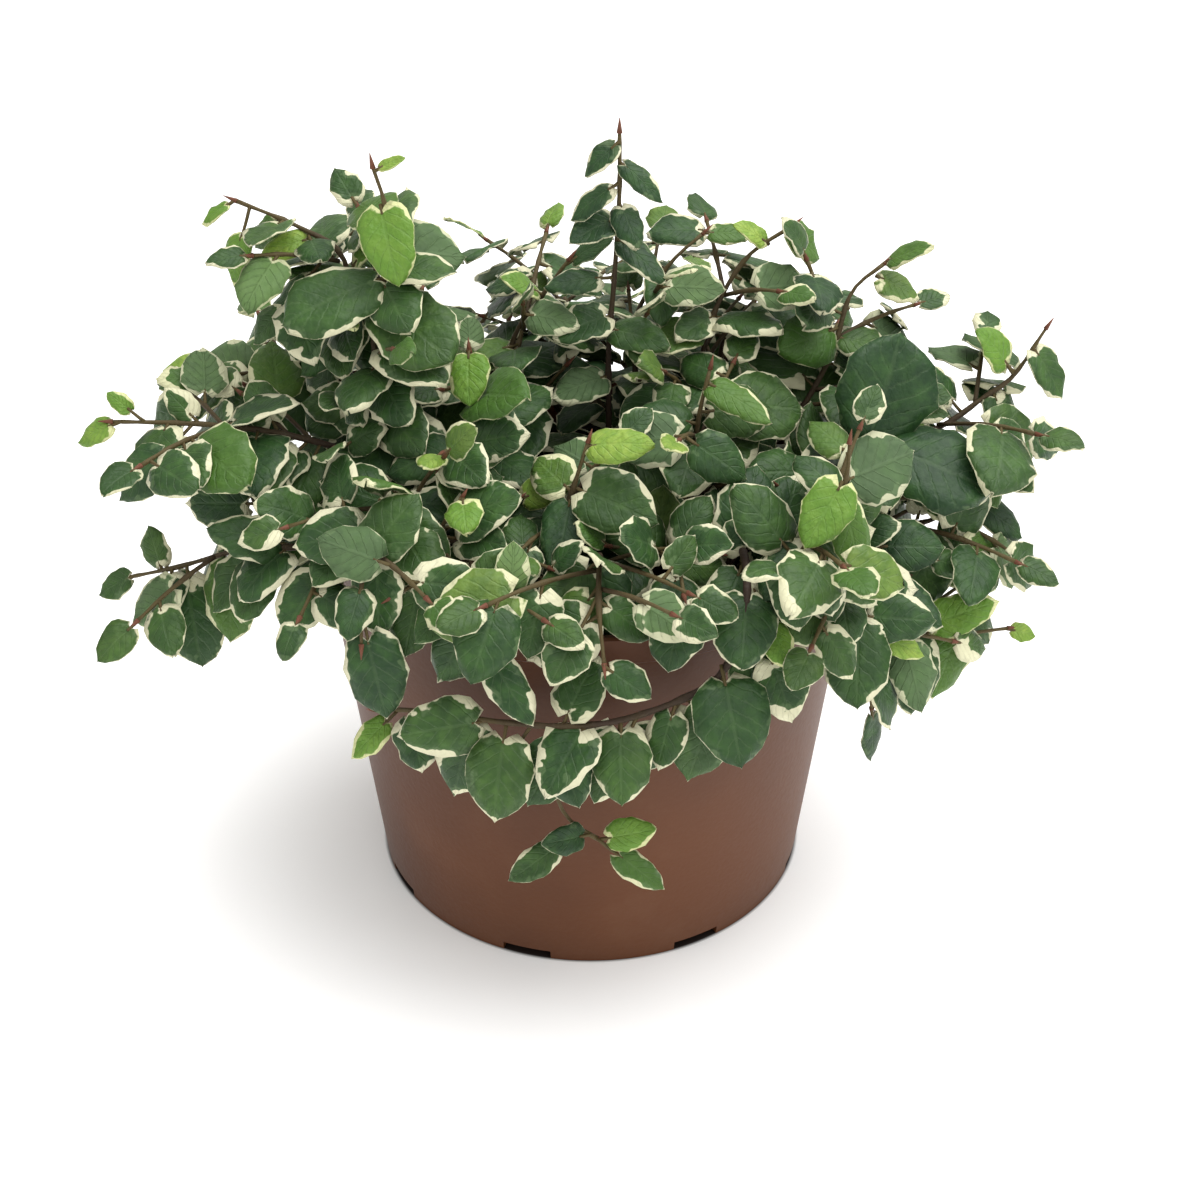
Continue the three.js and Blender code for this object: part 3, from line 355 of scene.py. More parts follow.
# Leafy stems: woody stems stand in the soil and arch over the rim, with their side shoots and leaves.
# Each stem grew with its leaves as one piece. The table and the growth rule are those of the solids, in
# millimetres, and the rule then goes on with more shoots and leaves than the solids hold.
#
# A row of the table is a name, the root in the soil, how many side shoots the rule adds, the stem's
# route, and its known leaves, each with its share of the stem, its tip, its length, its width and, where
# it stands out, its look. A known side shoot comes last: its share of the stem, the share of it that is
# bare, its route and its leaves.
STEMS = [
    ("upright_sprig", (3, 0), 0, [(4, 0, 100), (4, 0, 125), (5, 0, 139), (6, 0, 157), (6, 0, 171)], [
      (0.98, (-1, -3, 163), 8, 5, "dark"), (0.9, (-4, -4, 155), 10, 5, "dark"),
      (0.83, (-3, -5, 151), 10, 7.5, "dark"), (0.94, (12, -3, 156), 10, 5, "dark"),
      (0.86, (9, -6, 152), 9, 6, "dark"), (0.79, (13, -4, 144), 12, 6.5, "dark"),
      (0.71, (-9, -3, 141), 11, 7, "dark"), (0.63, (-7, -6, 131), 12, 9),
      (0.6, (13, -5, 130), 12, 9), (0.5, (-6, -6, 118), 12, 9)]),
    ("left_crown_stem", (-20, -6), 0, [(-30, -12, 98), (-40, -15, 112), (-43, -13, 131),
     (-40, -12, 147), (-39, -12, 159), (-41, -12, 168)], [
      (0.99, (-35, -12, 170), 5, 3, "lime"), (0.93, (-37, -22, 149), 14.5, 11, "bright"),
      (0.79, (-57, -20, 142), 20, 16), (0.75, (-28, -24, 135), 19, 15),
      (0.62, (-46, -24, 127), 14, 11), (0.52, (-28, -24, 118), 14, 11)]),
    ("far_left_crown_stem", (-24, 3), 1, [(-34, 2, 100), (-44, 2, 114), (-49, 2, 129), (-50, 2, 144),
     (-59, 6, 149), (-72, 8, 154)], [
      (0.84, (-67, 2, 151), 10, 6.5, "lime"), (1, (-79, 6, 150), 6, 4, "bright"),
      (0.97, (-74, 2, 138), 10, 7, "bright"), (0.91, (-64, 3, 143), 9, 5.5, "fresh"),
      (0.8, (-67, -4, 130), 14, 8.5), (0.74, (-43, -1, 150), 8, 5, "bright"),
      (0.66, (-60, -6, 122), 13, 10)],
     (0.7, 0.3, [(-54, -3, 142), (-61, -6, 137)], [])),
    ("left_reaching_stem", (-34, 2), 2, [(-42, -8, 102), (-53, -15, 110), (-66, -18, 115),
     (-79, -19, 117), (-96, -20, 118)], [
      (0.98, (-103, -22, 115), 7.5, 6), (0.93, (-96, -19, 124), 5.5, 4, "bright"),
      (0.87, (-91, -21, 110), 7, 5.5), (0.82, (-85, -17, 124), 7.5, 6),
      (0.74, (-79, -25, 108), 9, 8), (0.66, (-71, -15, 124), 10, 8), (0.6, (-67, -27, 106), 12, 10)]),
    ("left_low_stem", (-34, -8), 1, [(-42, -24, 99), (-50, -37, 100), (-58, -39, 100), (-68, -36, 98),
     (-84, -30, 90), (-96, -26, 85)], [
      (0.89, (-80, -36, 80), 10.5, 9), (0.98, (-102, -27, 82), 8, 6), (0.91, (-90, -26, 96), 8, 6),
      (0.66, (-76, -43, 88), 14, 10), (0.6, (-74, -41, 106), 14, 9.5),
      (0.48, (-64, -42, 112), 12, 10.5), (0.5, (-59, -50, 90), 13, 11)]),
    ("left_upper_stem", (-28, 13), 2, [(-38, 8, 98), (-50, 6, 108), (-60, 8, 114), (-71, 10, 117),
     (-84, 14, 115)], [
      (0.98, (-94, 16, 113), 9, 7)]),
    ("left_front_stem", (-28, -16), 0, [(-34, -26, 100), (-39, -38, 110), (-42, -48, 108),
     (-43, -56, 100), (-43, -61, 91)], [
      (0.5, (-41, -47, 122), 14, 11.5), (0.7, (-36, -63, 97), 13.5, 10),
      (0.92, (-39, -66, 77), 16, 12), (0.58, (-53, -52, 100), 13, 11), (0.62, (-30, -56, 104), 12, 10)]),
    ("mid_left_stem", (-22, -20), 0, [(-27, -32, 97), (-30, -40, 101), (-28, -44, 108),
     (-24, -44, 114)], [
      (1, (-23, -52, 112), 7.5, 7, "bright"), (0.8, (-16, -51, 108), 11, 9)]),
    ("centre_left_stem", (-13, -9), 1, [(-18, -12, 97), (-23, -14, 108), (-24, -16, 121),
     (-24, -14, 131)], [
      (1, (-24, -23, 124), 10, 8.5, "bright"), (0.82, (-16, -24, 113), 12, 9)]),
    ("centre_back_stem", (-9, 3), 2, [(-12, 3, 98), (-16, 4, 112), (-16, 4, 125), (-9, 4, 136),
     (-4, 4, 143)], [
      (0.98, (6, 2, 145), 9, 6), (0.88, (-17, -1, 142), 9, 6, "bright")]),
    ("centre_front_stem", (-4, -16), 0, [(-6, -27, 96), (-5, -34, 103), (-3, -37, 112),
     (0, -36, 122)], [
      (0.98, (12, -40, 124), 12, 7.5, "lime"), (0.8, (-6, -47, 101), 15, 9.5, "plain")]),
    ("centre_right_stem", (15, -12), 1, [(19, -18, 98), (21, -20, 109), (22, -22, 121),
     (24, -20, 130)], [
      (0.95, (35, -29, 124), 14, 7, "fresh")]),
    ("front_left_stem", (-14, -28), 0, [(-18, -38, 99), (-22, -48, 103), (-21, -58, 99),
     (-19, -65, 90)], [
      (0.95, (-14, -71, 78), 15, 8), (0.76, (-33, -62, 93), 11, 8), (0.7, (-11, -62, 98), 11, 8)]),
    ("front_centre_stem", (1, -30), 1, [(2, -42, 99), (2, -52, 104), (2, -62, 100), (3, -69, 92)], [
      (0.62, (-3, -63, 110), 14, 9.5), (0.8, (-7, -73, 91), 10, 9), (1, (10, -73, 89), 9, 7)]),
    ("front_right_mid_stem", (12, -24), 0, [(15, -38, 98), (17, -50, 103), (18, -59, 101)], [
      (0.98, (15, -69, 91), 13, 11), (0.7, (8, -56, 113), 12, 10)]),
    ("trailing_stem", (25, -30), 0, [(29, -42, 101), (30, -53, 103), (29, -62, 97), (24, -66, 87),
     (10, -69, 81), (-3, -70, 79), (-18, -67, 78), (-31, -61, 76), (-43, -52, 70)], [
      (0.3, (37, -68, 92), 9, 6.5, "bright"), (0.37, (39, -69, 79), 12.5, 10.5, "wide"),
      (0.46, (19, -74, 68), 15.5, 11.5), (0.54, (10, -75, 66), 12, 8.5), (0.6, (1, -76, 65), 11, 8),
      (0.69, (-12, -75, 63), 14, 11), (0.74, (-17, -73, 64), 8, 7.5),
      (0.82, (-27, -70, 61), 15.5, 12.5, "wide"), (0.95, (-48, -56, 64), 10, 6, "bright")],
     (0.66, 0.84, [(-6, -69, 70), (-6, -67, 59), (-3, -67, 53), (2, -67, 49)], [
      (0.94, (-10, -70, 54), 9, 6, "plain"), (1, (13, -70, 54), 10, 6.5, "bright"),
      (0.88, (-16, -73, 43), 11, 6), (0.97, (15, -73, 41), 11, 6)])),
    ("cut_stem", (8, -34), 0, [(14, -45, 96), (24, -54, 96), (33, -57, 93), (45, -52, 89),
     (57, -46, 88)], []),
    ("front_right_stem", (22, -20), 1, [(32, -36, 98), (41, -46, 104), (46, -50, 113), (48, -50, 122),
     (48, -50, 129)], [
      (0.9, (41, -57, 112), 13, 9.5, "bright"), (0.86, (56, -57, 108), 14.5, 8, "fresh"),
      (0.68, (47, -59, 96), 14, 11.5, "wide")]),
    ("right_hanging_stem", (34, -18), 0, [(42, -34, 99), (49, -46, 98), (54, -51, 89), (56, -51, 76),
     (57, -49, 68)], [
      (0.98, (59, -48, 53), 13, 5, "plain"), (0.76, (66, -53, 84), 10, 6, "lime"),
      (0.6, (50, -60, 92), 11, 9)]),
    ("right_low_stem", (39, -10), 0, [(46, -28, 99), (52, -38, 97), (60, -40, 86), (72, -38, 79),
     (86, -36, 79)], [
      (0.8, (82, -40, 88), 13.5, 8.5, "bright"), (0.88, (71, -44, 68), 13, 10, "fresh"),
      (0.99, (91, -37, 78), 5, 4, "lime"), (0.62, (67, -47, 82), 13, 10), (0.5, (62, -36, 100), 12, 9)]),
    ("right_mid_stem", (42, 0), 1, [(50, -18, 99), (60, -23, 96), (70, -20, 95), (79, -16, 98),
     (90, -14, 100)], [
      (0.72, (69, -20, 103), 7, 6), (0.88, (88, -21, 94), 11, 8), (0.78, (80, -23, 88), 9.5, 7),
      (0.58, (55, -32, 91), 13, 10)]),
    ("large_leaf_stem", (30, -4), 1, [(44, -10, 100), (54, -16, 106), (61, -18, 111)], [
      (0.9, (63, -13, 133), 21, 21, "plain"), (1, (80, -27, 108), 21, 20.5, "plain")]),
    ("far_right_stem", (38, 12), 1, [(50, 4, 102), (62, -2, 105), (74, -1, 107), (84, 2, 113),
     (90, 4, 117), (96, 6, 127)], [
      (0.95, (101, 1, 113), 11.5, 9), (0.82, (92, -2, 101), 14.5, 9.5),
      (0.88, (82, 4, 128), 10, 9, "bright"), (0.74, (70, 3, 120), 10, 8)]),
    ("right_upper_stem", (26, 5), 2, [(34, 2, 96), (43, 1, 107), (51, 5, 121), (55, 10, 133),
     (62, 12, 139)], [
      (1, (67, 9, 143), 10, 6, "fresh"), (0.96, (69, 9, 133), 9, 8), (0.84, (43, 7, 135), 9, 5),
      (0.78, (63, 3, 124), 11, 8)]),
    ("right_crown_stem", (17, 0), 2, [(20, 2, 98), (23, 4, 112), (25, 6, 127), (32, 8, 141),
     (42, 10, 148)], [
      (0.93, (31, 8, 149), 7.5, 5, "lime"), (0.98, (48, 6, 141), 9, 8.5, "fresh"),
      (0.72, (20, 0, 129), 10, 8)]),
    ("right_top_stem", (9, 11), 2, [(10, 10, 98), (10, 10, 110), (10, 12, 127), (17, 14, 138),
     (24, 16, 144)], [
      (0.86, (15, 5, 131), 11, 8.5), (1, (32, 16, 144), 8, 6), (0.7, (15, 4, 124), 11, 9)]),
]
BACK_AZIMUTHS = (22, 47, 72, 97, 122, 147)
BACK_ROOT_RADIUS = 31
BACK_ARCH = ((41, 99), (50, 106), (58, 104), (65, 96))
BACK_RISE = 9

for index, azimuth in enumerate(BACK_AZIMUTHS):
    out = (math.cos(math.radians(azimuth)), math.sin(math.radians(azimuth)))
    route = []
    for step, (radius, height) in enumerate(BACK_ARCH):
        rise = BACK_RISE if index % 2 == 1 and step > 0 else 0
        route.append((out[0] * (radius - rise / 2), out[1] * (radius - rise / 2), height + rise))
    STEMS.append((f"back_stem_{index + 1}", (out[0] * BACK_ROOT_RADIUS, out[1] * BACK_ROOT_RADIUS),
                  2, route, []))

STEM_RADII = (1.4, 0.9)
SHOOT_RADII = (1.0, 0.85)
STEM_STEP = 14
SHOOT_STEP = 9
STEM_START_DEPTH = 14
BARE_STEM_SHARE = 0.36
BARE_SHOOT_SHARE = 0.25
PETIOLE_WIDTH = 1.0
PETIOLE_LENGTH = 3.0
LEAF_LENGTH = 14.5
LEAF_LENGTH_SPREAD = 2.5
LEAF_WIDTH_SHARE = 0.82
WIDTH_SHARE_SPREAD = 0.06
LEAF_SPACING = 11.5
MARGIN_WAVE = 0.45
MARGIN_CUT = 0.09
STATIONS = np.array([0.0, 0.18, 0.47, 0.78, 1.0])
STATION_WIDTHS = np.array([0.76, 1.0, 0.72, 0.06])
SAMPLE_STEP = 1.9
CURVE_SAMPLES = 201
UP = np.array([0.0, 0.0, 1.0])
FRONT_FACE = np.array([0.0, -0.85, 0.53])
DRAW_RANGE = 4294967296


class Draws:
    """Draws between 0 and 1 that follow from the number they start with."""

    state = 1

    @classmethod
    def start(cls, number):
        cls.state = (number * 2654435 + 97) % DRAW_RANGE
        cls.next()
        cls.next()

    @classmethod
    def next(cls):
        cls.state = (cls.state * 1664525 + 1013904223) % DRAW_RANGE
        return cls.state / DRAW_RANGE

    @classmethod
    def spread(cls, spread):
        return (cls.next() * 2 - 1) * spread


def unit(vector):
    return vector / np.linalg.norm(vector)


def curve_points(controls, shares):
    """Points of the smooth curve through the controls, at the given shares of its parameter."""
    last = len(controls) - 1
    padded = np.vstack([2 * controls[0] - controls[1], controls, 2 * controls[-1] - controls[-2]])
    place = np.asarray(shares) * last
    part = np.minimum(place.astype(int), last - 1)
    weight = (place - part)[:, None]
    p0, p1, p2, p3 = (padded[part + k] for k in range(4))
    t0, t1 = (p2 - p0) / 2, (p3 - p1) / 2
    squared = 3 * (p2 - p1) - 2 * t0 - t1
    cubed = 2 * (p1 - p2) + t0 + t1
    return p1 + t0 * weight + squared * weight ** 2 + cubed * weight ** 3


def reaches_of(points):
    """How far along their row the points lie."""
    return np.concatenate([[0], np.cumsum(np.linalg.norm(np.diff(points, axis=0), axis=1))])


def curve_length(controls):
    return reaches_of(curve_points(controls, np.linspace(0, 1, CURVE_SAMPLES)))[-1]


def spaced_points(controls, steps):
    """Points at even distances along the smooth curve through the controls."""
    shares = np.linspace(0, 1, CURVE_SAMPLES)
    reaches = reaches_of(curve_points(controls, shares))
    even = np.linspace(0, 1, steps + 1) * reaches[-1]
    return curve_points(controls, np.interp(even, reaches, shares))


class Axis:
    """The centre line of a stem or side shoot."""

    def __init__(self, node, controls, step, radii, bare, leaves):
        self.node, self.radii, self.bare, self.leaves = node, radii, bare, leaves
        self.controls = np.array(controls, float)
        self.steps = max(3, math.floor(curve_length(self.controls) / step + 0.5))
        self.knots = spaced_points(self.controls, self.steps)
        self.reaches = reaches_of(self.knots)
        self.length = self.reaches[-1]
        count = math.ceil(self.length / SAMPLE_STEP)
        self.samples = np.array([self.point(i / count)[0] for i in range(count + 1)])
        self.sample_radii = np.array([self.radius(i / count) for i in range(count + 1)])

    def radius(self, share):
        return self.radii[0] + (self.radii[1] - self.radii[0]) * share

    def point(self, share):
        reach = min(max(share, 0), 1) * self.length
        i = np.searchsorted(self.reaches[1:-1], reach)
        part = (reach - self.reaches[i]) / (self.reaches[i + 1] - self.reaches[i])
        tangent = self.knots[i + 1] - self.knots[i]
        return self.knots[i] + tangent * part, unit(tangent)


class Crowd:
    """All the axes and leaves so far, also as rows of numbers for the room tests."""

    axes = []
    leaves = []
    points = np.zeros((0, 3))
    radii = np.zeros(0)
    owners = np.zeros(0, int)
    stems = np.zeros(0, "U24")
    middles = np.zeros((0, 3))
    sizes = np.zeros(0)

    @classmethod
    def add_axis(cls, axis):
        axis.number = len(cls.axes)
        cls.axes.append(axis)
        cls.points = np.vstack([cls.points, axis.samples])
        cls.radii = np.append(cls.radii, axis.sample_radii)
        cls.owners = np.append(cls.owners, np.full(len(axis.samples), axis.number))
        cls.stems = np.append(cls.stems, np.full(len(axis.samples), axis.node))
        return axis

    @classmethod
    def add_leaf(cls, leaf):
        cls.leaves.append(leaf)
        cls.middles = np.vstack([cls.middles, leaf.middle])
        cls.sizes = np.append(cls.sizes, leaf.size)
        return leaf


# Leaves turn their face to the light: up over the middle of the pot, outwards round its edge, and
# more so where a stem hangs below the rim. Those in front lean forward too, as to a window.
OUTWARD_REACH = 45
OUTWARD_SHARE = 0.5
HANGING_START = 4
HANGING_DEPTH = 20
FRONT_SHARE = 1.3
FRONT_END = 35
FRONT_DEPTH = 45


def light_at(point):
    hanging = min(max((POT_HEIGHT + HANGING_START - point[2]) / HANGING_DEPTH, 0), 1)
    outward = np.array([point[0], point[1], 0.0])
    reach = math.hypot(point[0], point[1])
    if reach > OUTWARD_REACH:
        outward = outward / reach * OUTWARD_REACH
    return unit(outward * ((OUTWARD_SHARE + hanging) / OUTWARD_REACH) + UP)


def front_at(point):
    return FRONT_FACE * (FRONT_SHARE * min(max((FRONT_END - point[1]) / FRONT_DEPTH, 0), 1))


def turned(vector, axis, angle):
    return (vector * math.cos(angle) + np.cross(axis, vector) * math.sin(angle)
            + axis * (np.dot(axis, vector) * (1 - math.cos(angle))))


def square_to(vector, along):
    return unit(vector - along * np.dot(vector, along))


# Room that a leaf needs: to other blades at its edge and at its face, to stems at its edge and face, to
# the stem it grows from, to the soil and to the rim. The search reaches a little past each leaf.
SOLID_GAPS = (0.9, 1.55, 0.95)
STEM_EDGE_GAP = 0.5
OWN_STEM_REACH = 1.5
SOIL_LEAF_GAP = 1.2
RIM_GAP = 1.5
SEARCH_REACH = 2


class Leaf:
    """A leaf: its root on the axis, its direction, its upward face, its sizes and its waved margin."""

    def __init__(self, axis, share, along, facing, blade, width, petiole):
        self.axis, self.share, self.blade, self.width, self.petiole = axis, share, blade, width, petiole
        self.root = axis.point(share)[0]
        self.along = along
        self.facing = square_to(facing, along)
        self.across = np.cross(self.facing, along)
        self.droop = 0.08 + 0.14 * Draws.next()
        self.waves = [(Draws.spread(MARGIN_WAVE), Draws.spread(MARGIN_WAVE)) for _ in range(4)]
        self.cuts = [(1 + Draws.spread(MARGIN_CUT), 1 + Draws.spread(MARGIN_CUT)) for _ in range(4)]
        self.halves = np.concatenate([[PETIOLE_WIDTH / 2], STATION_WIDTHS * width / 2])
        self.size = (petiole + blade) / 2 + SEARCH_REACH
        self.traits = None
        self.in_table = False
        self.middle = self.root + along * ((petiole + blade) / 2)

    def height(self, reach):
        share = np.maximum(0, (reach - self.petiole) / self.blade)
        return -self.droop * self.blade * share * share

    def half_width(self, reach):
        return np.interp((reach - self.petiole) / self.blade, STATIONS, self.halves)

    def sample(self):
        total = self.petiole + self.blade
        rows = math.ceil((total - 1) / SAMPLE_STEP)
        spots = []
        for row in range(rows + 1):
            reach = 1 + (total - 1) * row / rows
            half = float(self.half_width(reach))
            columns = math.ceil(half / SAMPLE_STEP)
            height = float(self.height(reach))
            spots += [(reach, half * column / columns, height) for column in range(-columns, columns + 1)]
        spots = np.array(spots)
        self.on_petiole = spots[:, 0] < self.petiole
        self.samples = (self.root + spots[:, :1] * self.along + spots[:, 1:2] * self.across
                        + spots[:, 2:] * self.facing)

    def meets(self, points, edge_gap, face_gap, start=0.0):
        offset = points - self.root
        reach = offset @ self.along
        return np.any(
            (reach >= start) & (reach <= self.petiole + self.blade + edge_gap)
            & (np.abs(offset @ self.across) <= self.half_width(reach) + edge_gap)
            & (np.abs(offset @ self.facing - self.height(reach)) < face_gap))


def meets_pot(points):
    radius = np.hypot(points[:, 0], points[:, 1])
    wall = FOOT_RADIUS + (RIM_RADIUS - FOOT_RADIUS) * points[:, 2] / POT_HEIGHT
    in_soil = (points[:, 2] < SOIL_TOP + SOIL_CROWN + SOIL_LEAF_GAP) & (radius < wall)
    in_wall = ((points[:, 2] < POT_HEIGHT + RIM_GAP)
               & (radius < wall + RIM_GAP) & (radius > wall - WALL - RIM_GAP))
    return np.any(in_soil | in_wall)


def leaf_meets(leaf, other, gaps):
    same = leaf.axis is other.axis
    points = leaf.samples[~leaf.on_petiole] if same else leaf.samples
    return other.meets(points, gaps[0], gaps[1], other.petiole if same else 0.0)


def has_room(leaf, gaps):
    leaf.sample()
    if meets_pot(leaf.samples):
        return False
    near = np.linalg.norm(Crowd.points - leaf.middle, axis=1) <= leaf.size + SEARCH_REACH
    own = (Crowd.stems == leaf.axis.node) & (
        np.linalg.norm(Crowd.points - leaf.root, axis=1) < leaf.petiole + OWN_STEM_REACH)
    near &= ~own
    radii = Crowd.radii[near]
    if near.any() and leaf.meets(Crowd.points[near], radii + STEM_EDGE_GAP, radii + gaps[2]):
        return False
    if Crowd.leaves:
        apart = np.linalg.norm(Crowd.middles - leaf.middle, axis=1)
        for i in np.nonzero(apart <= leaf.size + Crowd.sizes)[0]:
            other = Crowd.leaves[i]
            if leaf_meets(leaf, other, gaps) or leaf_meets(other, leaf, gaps):
                return False
    return True


# A leaf without room is tried again, turned further to either side, tilted up or down, and a little
# smaller in the second half of its tries. One that finds no room isn't grown.
TRIES = 18


def grow_leaf(axis, share, along, facing, blade, width, petiole, number, gaps=SOLID_GAPS, tries=TRIES):
    for attempt in range(tries):
        Draws.start(number)
        side = 1 if attempt % 2 == 0 else -1
        turn = math.radians(13 * side * math.ceil(attempt / 2))
        tilt = math.radians(16 * (attempt % 3 - (3 if attempt % 3 == 2 else 0)))
        size = 1 if attempt < tries / 2 else 0.84
        face = square_to(facing, along)
        turned_along = turned(along, face, turn)
        hinge = unit(np.cross(face, turned_along))
        leaf = Leaf(axis, share, turned(turned_along, hinge, tilt), turned(face, hinge, tilt),
                    blade * size, width * size, petiole)
        if has_room(leaf, gaps):
            leaf.number = number
            return Crowd.add_leaf(leaf)
    return None


stem_axes = []
for name, root, shoots, route, leaves, *sides in STEMS:
    low = (root[0], root[1], SOIL_TOP + SOIL_CROWN - STEM_START_DEPTH)
    top = (root[0], root[1], SOIL_TOP + SOIL_CROWN)
    main = Crowd.add_axis(Axis(name, [low, top, *route], STEM_STEP, STEM_RADII, BARE_STEM_SHARE, leaves))
    own = [main]
    for at, bare, side_route, side_leaves in sides:
        start = tuple(main.point(at)[0])
        side_shoot = Axis(name, [start, *side_route], SHOOT_STEP, SHOOT_RADII, bare, side_leaves)
        own.append(Crowd.add_axis(side_shoot))
    stem_axes.append(own)


# Side shoots leave the stem left and right in turn, between two shares of it. One without room is tried
# again on the other side, and shorter in the second half of its tries.
SHOOT_RULE = {"first": 0.5, "last": 0.86, "gap": 1.2, "size": 1.0}
SHOOT_LENGTH = 24
SHOOT_FORWARD = 0.6
SHOOT_SAG = 0.16
SHOOT_TRIES = 8
SHOOT_OWN_REACH = 4.5


def shoot_has_room(points, own, root, gap):
    if meets_pot(points):
        return False
    clear = ~((Crowd.owners == own.number)
              & (np.linalg.norm(Crowd.points - root, axis=1) < SHOOT_OWN_REACH))
    apart = np.linalg.norm(Crowd.points[clear][None] - points[:, None], axis=2)
    return not np.any(apart < Crowd.radii[clear] + SHOOT_RADII[0] + gap)


def grow_shoot(own, index, shoots, first, last, gap, size):
    """Adds a side shoot to the stem's own axes, where there is room for it."""
    main = own[0]
    point, tangent = main.point(first + (last - first) * (index + 0.5) / shoots)
    for attempt in range(SHOOT_TRIES):
        light = light_at(point)
        side = unit(np.cross(tangent, light))
        if (index + attempt) % 2 == 1:
            side = -side
        lift = Draws.next() * 0.6
        heading = unit(side + tangent * SHOOT_FORWARD + light * lift)
        late = 1 if attempt < SHOOT_TRIES / 2 else 0.7
        length = SHOOT_LENGTH * (0.85 + 0.3 * Draws.next())
        length = length * late * size

        def spot_at(part):
            return point + heading * length * part - UP * SHOOT_SAG * length * part * part

        route = [spot_at(part) for part in (0, 1 / 3, 2 / 3, 1)]
        if shoot_has_room(np.array([spot_at(i / 10) for i in range(3, 11)]), main, point, gap):
            shoot = Axis(main.node, route, SHOOT_STEP, SHOOT_RADII, BARE_SHOOT_SHARE, [])
            own.append(Crowd.add_axis(shoot))
            return


# The numbers that the draws start with: the first one, and the steps to the next stem and axis.
# The last three are added to a leaf's own number.
SHOOT_DRAWS = 500
TABLE_DRAWS = (1000, 80, 20)
GROWN_DRAWS = (5000, 200, 40)
FILL_DRAWS = (90000, 400, 40)
EXTRA_SHOOT_DRAWS = 70000
LEAF_DRAWS = 20000
SHAPE_DRAWS = 7
TRAIT_DRAWS = 31


def draw_number(draws, stem_index, axis_index):
    first, stem_step, axis_step = draws
    return first + stem_index * stem_step + axis_index * axis_step


for stem_index, (stem, own) in enumerate(zip(STEMS, stem_axes)):
    Draws.start(SHOOT_DRAWS + stem_index)
    for index in range(stem[2]):
        grow_shoot(own, index, stem[2], **SHOOT_RULE)


# How young a leaf is, how much cream its margin has, and its shade between two greens
LOOKS = {
    "plain": (0.0, 0.05, 0.3),
    "dark": (0.0, 0.35, 0.15),
    "wide": (0.05, 1.25, 0.4),
    "fresh": (0.5, 0.4, 0.2),
    "bright": (0.92, 0.4, 0.25),
    "lime": (1.0, 0.15, 0.95),
}
for stem_index, own in enumerate(stem_axes):
    for axis_index, axis in enumerate(own):
        for index, (share, tip, blade, width, *look) in enumerate(axis.leaves):
            point = axis.point(share)[0]
            to_tip = np.array(tip, float) - point
            reach = np.linalg.norm(to_tip)
            leaf = grow_leaf(axis, share, unit(to_tip), light_at(point) + FRONT_FACE, blade, width,
                             max(reach - blade, PETIOLE_LENGTH / 2),
                             draw_number(TABLE_DRAWS, stem_index, axis_index) + index)
            if leaf:
                leaf.in_table = True
                leaf.traits = LOOKS[look[0]] if look else None


# The rule for the other leaves: they stand left and right of their axis in turn, from its tip down to its
# bare share, the first ones not fully grown. Each heads forward and hangs a little.
STEMS_WITHOUT_MORE = ("cut_stem", "upright_sprig")
RANK_TURN = 25
LEAF_FORWARD = 0.55
LEAF_HANG = 0.5
FACE_SPREADS = (0.35, 0.35, 0.2)
FILL_END = 0.88


def leaf_along(axis, share, rank, light):
    tangent = axis.point(share)[1]
    side = unit(np.cross(tangent, light)) * rank
    along = unit(side + tangent * LEAF_FORWARD - UP * LEAF_HANG)
    return turned(along, light, math.radians(Draws.spread(RANK_TURN)))


def grow_leaves_on(axis, number, spacing=LEAF_SPACING, offset=0.0, size=1.0, front=1.0,
                   gaps=SOLID_GAPS, tries=TRIES):
    """Grows leaves along the axis; with an offset they stand between those that are there."""
    count = math.floor(axis.length * (1 - axis.bare) / spacing)
    for index in range(1 if axis.leaves or offset else 0, count + 1):
        share = 1 - (1 - axis.bare) * (index - offset) / (count + 0.5)
        if offset and axis.leaves and share > FILL_END:
            continue
        Draws.start(number + index)
        point, tangent = axis.point(share)
        light = light_at(point)
        facing = np.array([Draws.spread(spread) for spread in FACE_SPREADS])
        facing = facing + light + front_at(point) * front
        rank = 1 if index % 2 == 0 else -1
        along = tangent if index == 0 else leaf_along(axis, share, rank, light)
        grown = min(1, 0.6 + 0.2 * index)
        blade = (LEAF_LENGTH + Draws.spread(LEAF_LENGTH_SPREAD)) * grown * size
        width = blade * (LEAF_WIDTH_SHARE + Draws.spread(WIDTH_SHARE_SPREAD))
        petiole = PETIOLE_LENGTH * (0.7 + 0.5 * Draws.next()) * grown
        grow_leaf(axis, share, along, unit(facing), blade, width, petiole, number + index + LEAF_DRAWS,
                  gaps, tries)


for stem_index, (stem, own) in enumerate(zip(STEMS, stem_axes)):
    if stem[0] not in STEMS_WITHOUT_MORE:
        for axis_index, axis in enumerate(own):
            grow_leaves_on(axis, draw_number(GROWN_DRAWS, stem_index, axis_index))

# More side shoots and leaves fill the plant between those of the solids, closer to each other.
# The trailing stem's side shoot hangs nearly bare over the pot, so only its main stem is filled.
EXTRA_SHOOTS = 4
EXTRA_SHOOT_RULE = {"first": 0.3, "last": 0.84, "gap": 0.3, "size": 0.8}
FILL_RULE = {"spacing": 6.5, "front": 1.7, "gaps": (0.3, 0.65, 0.4), "tries": 16}

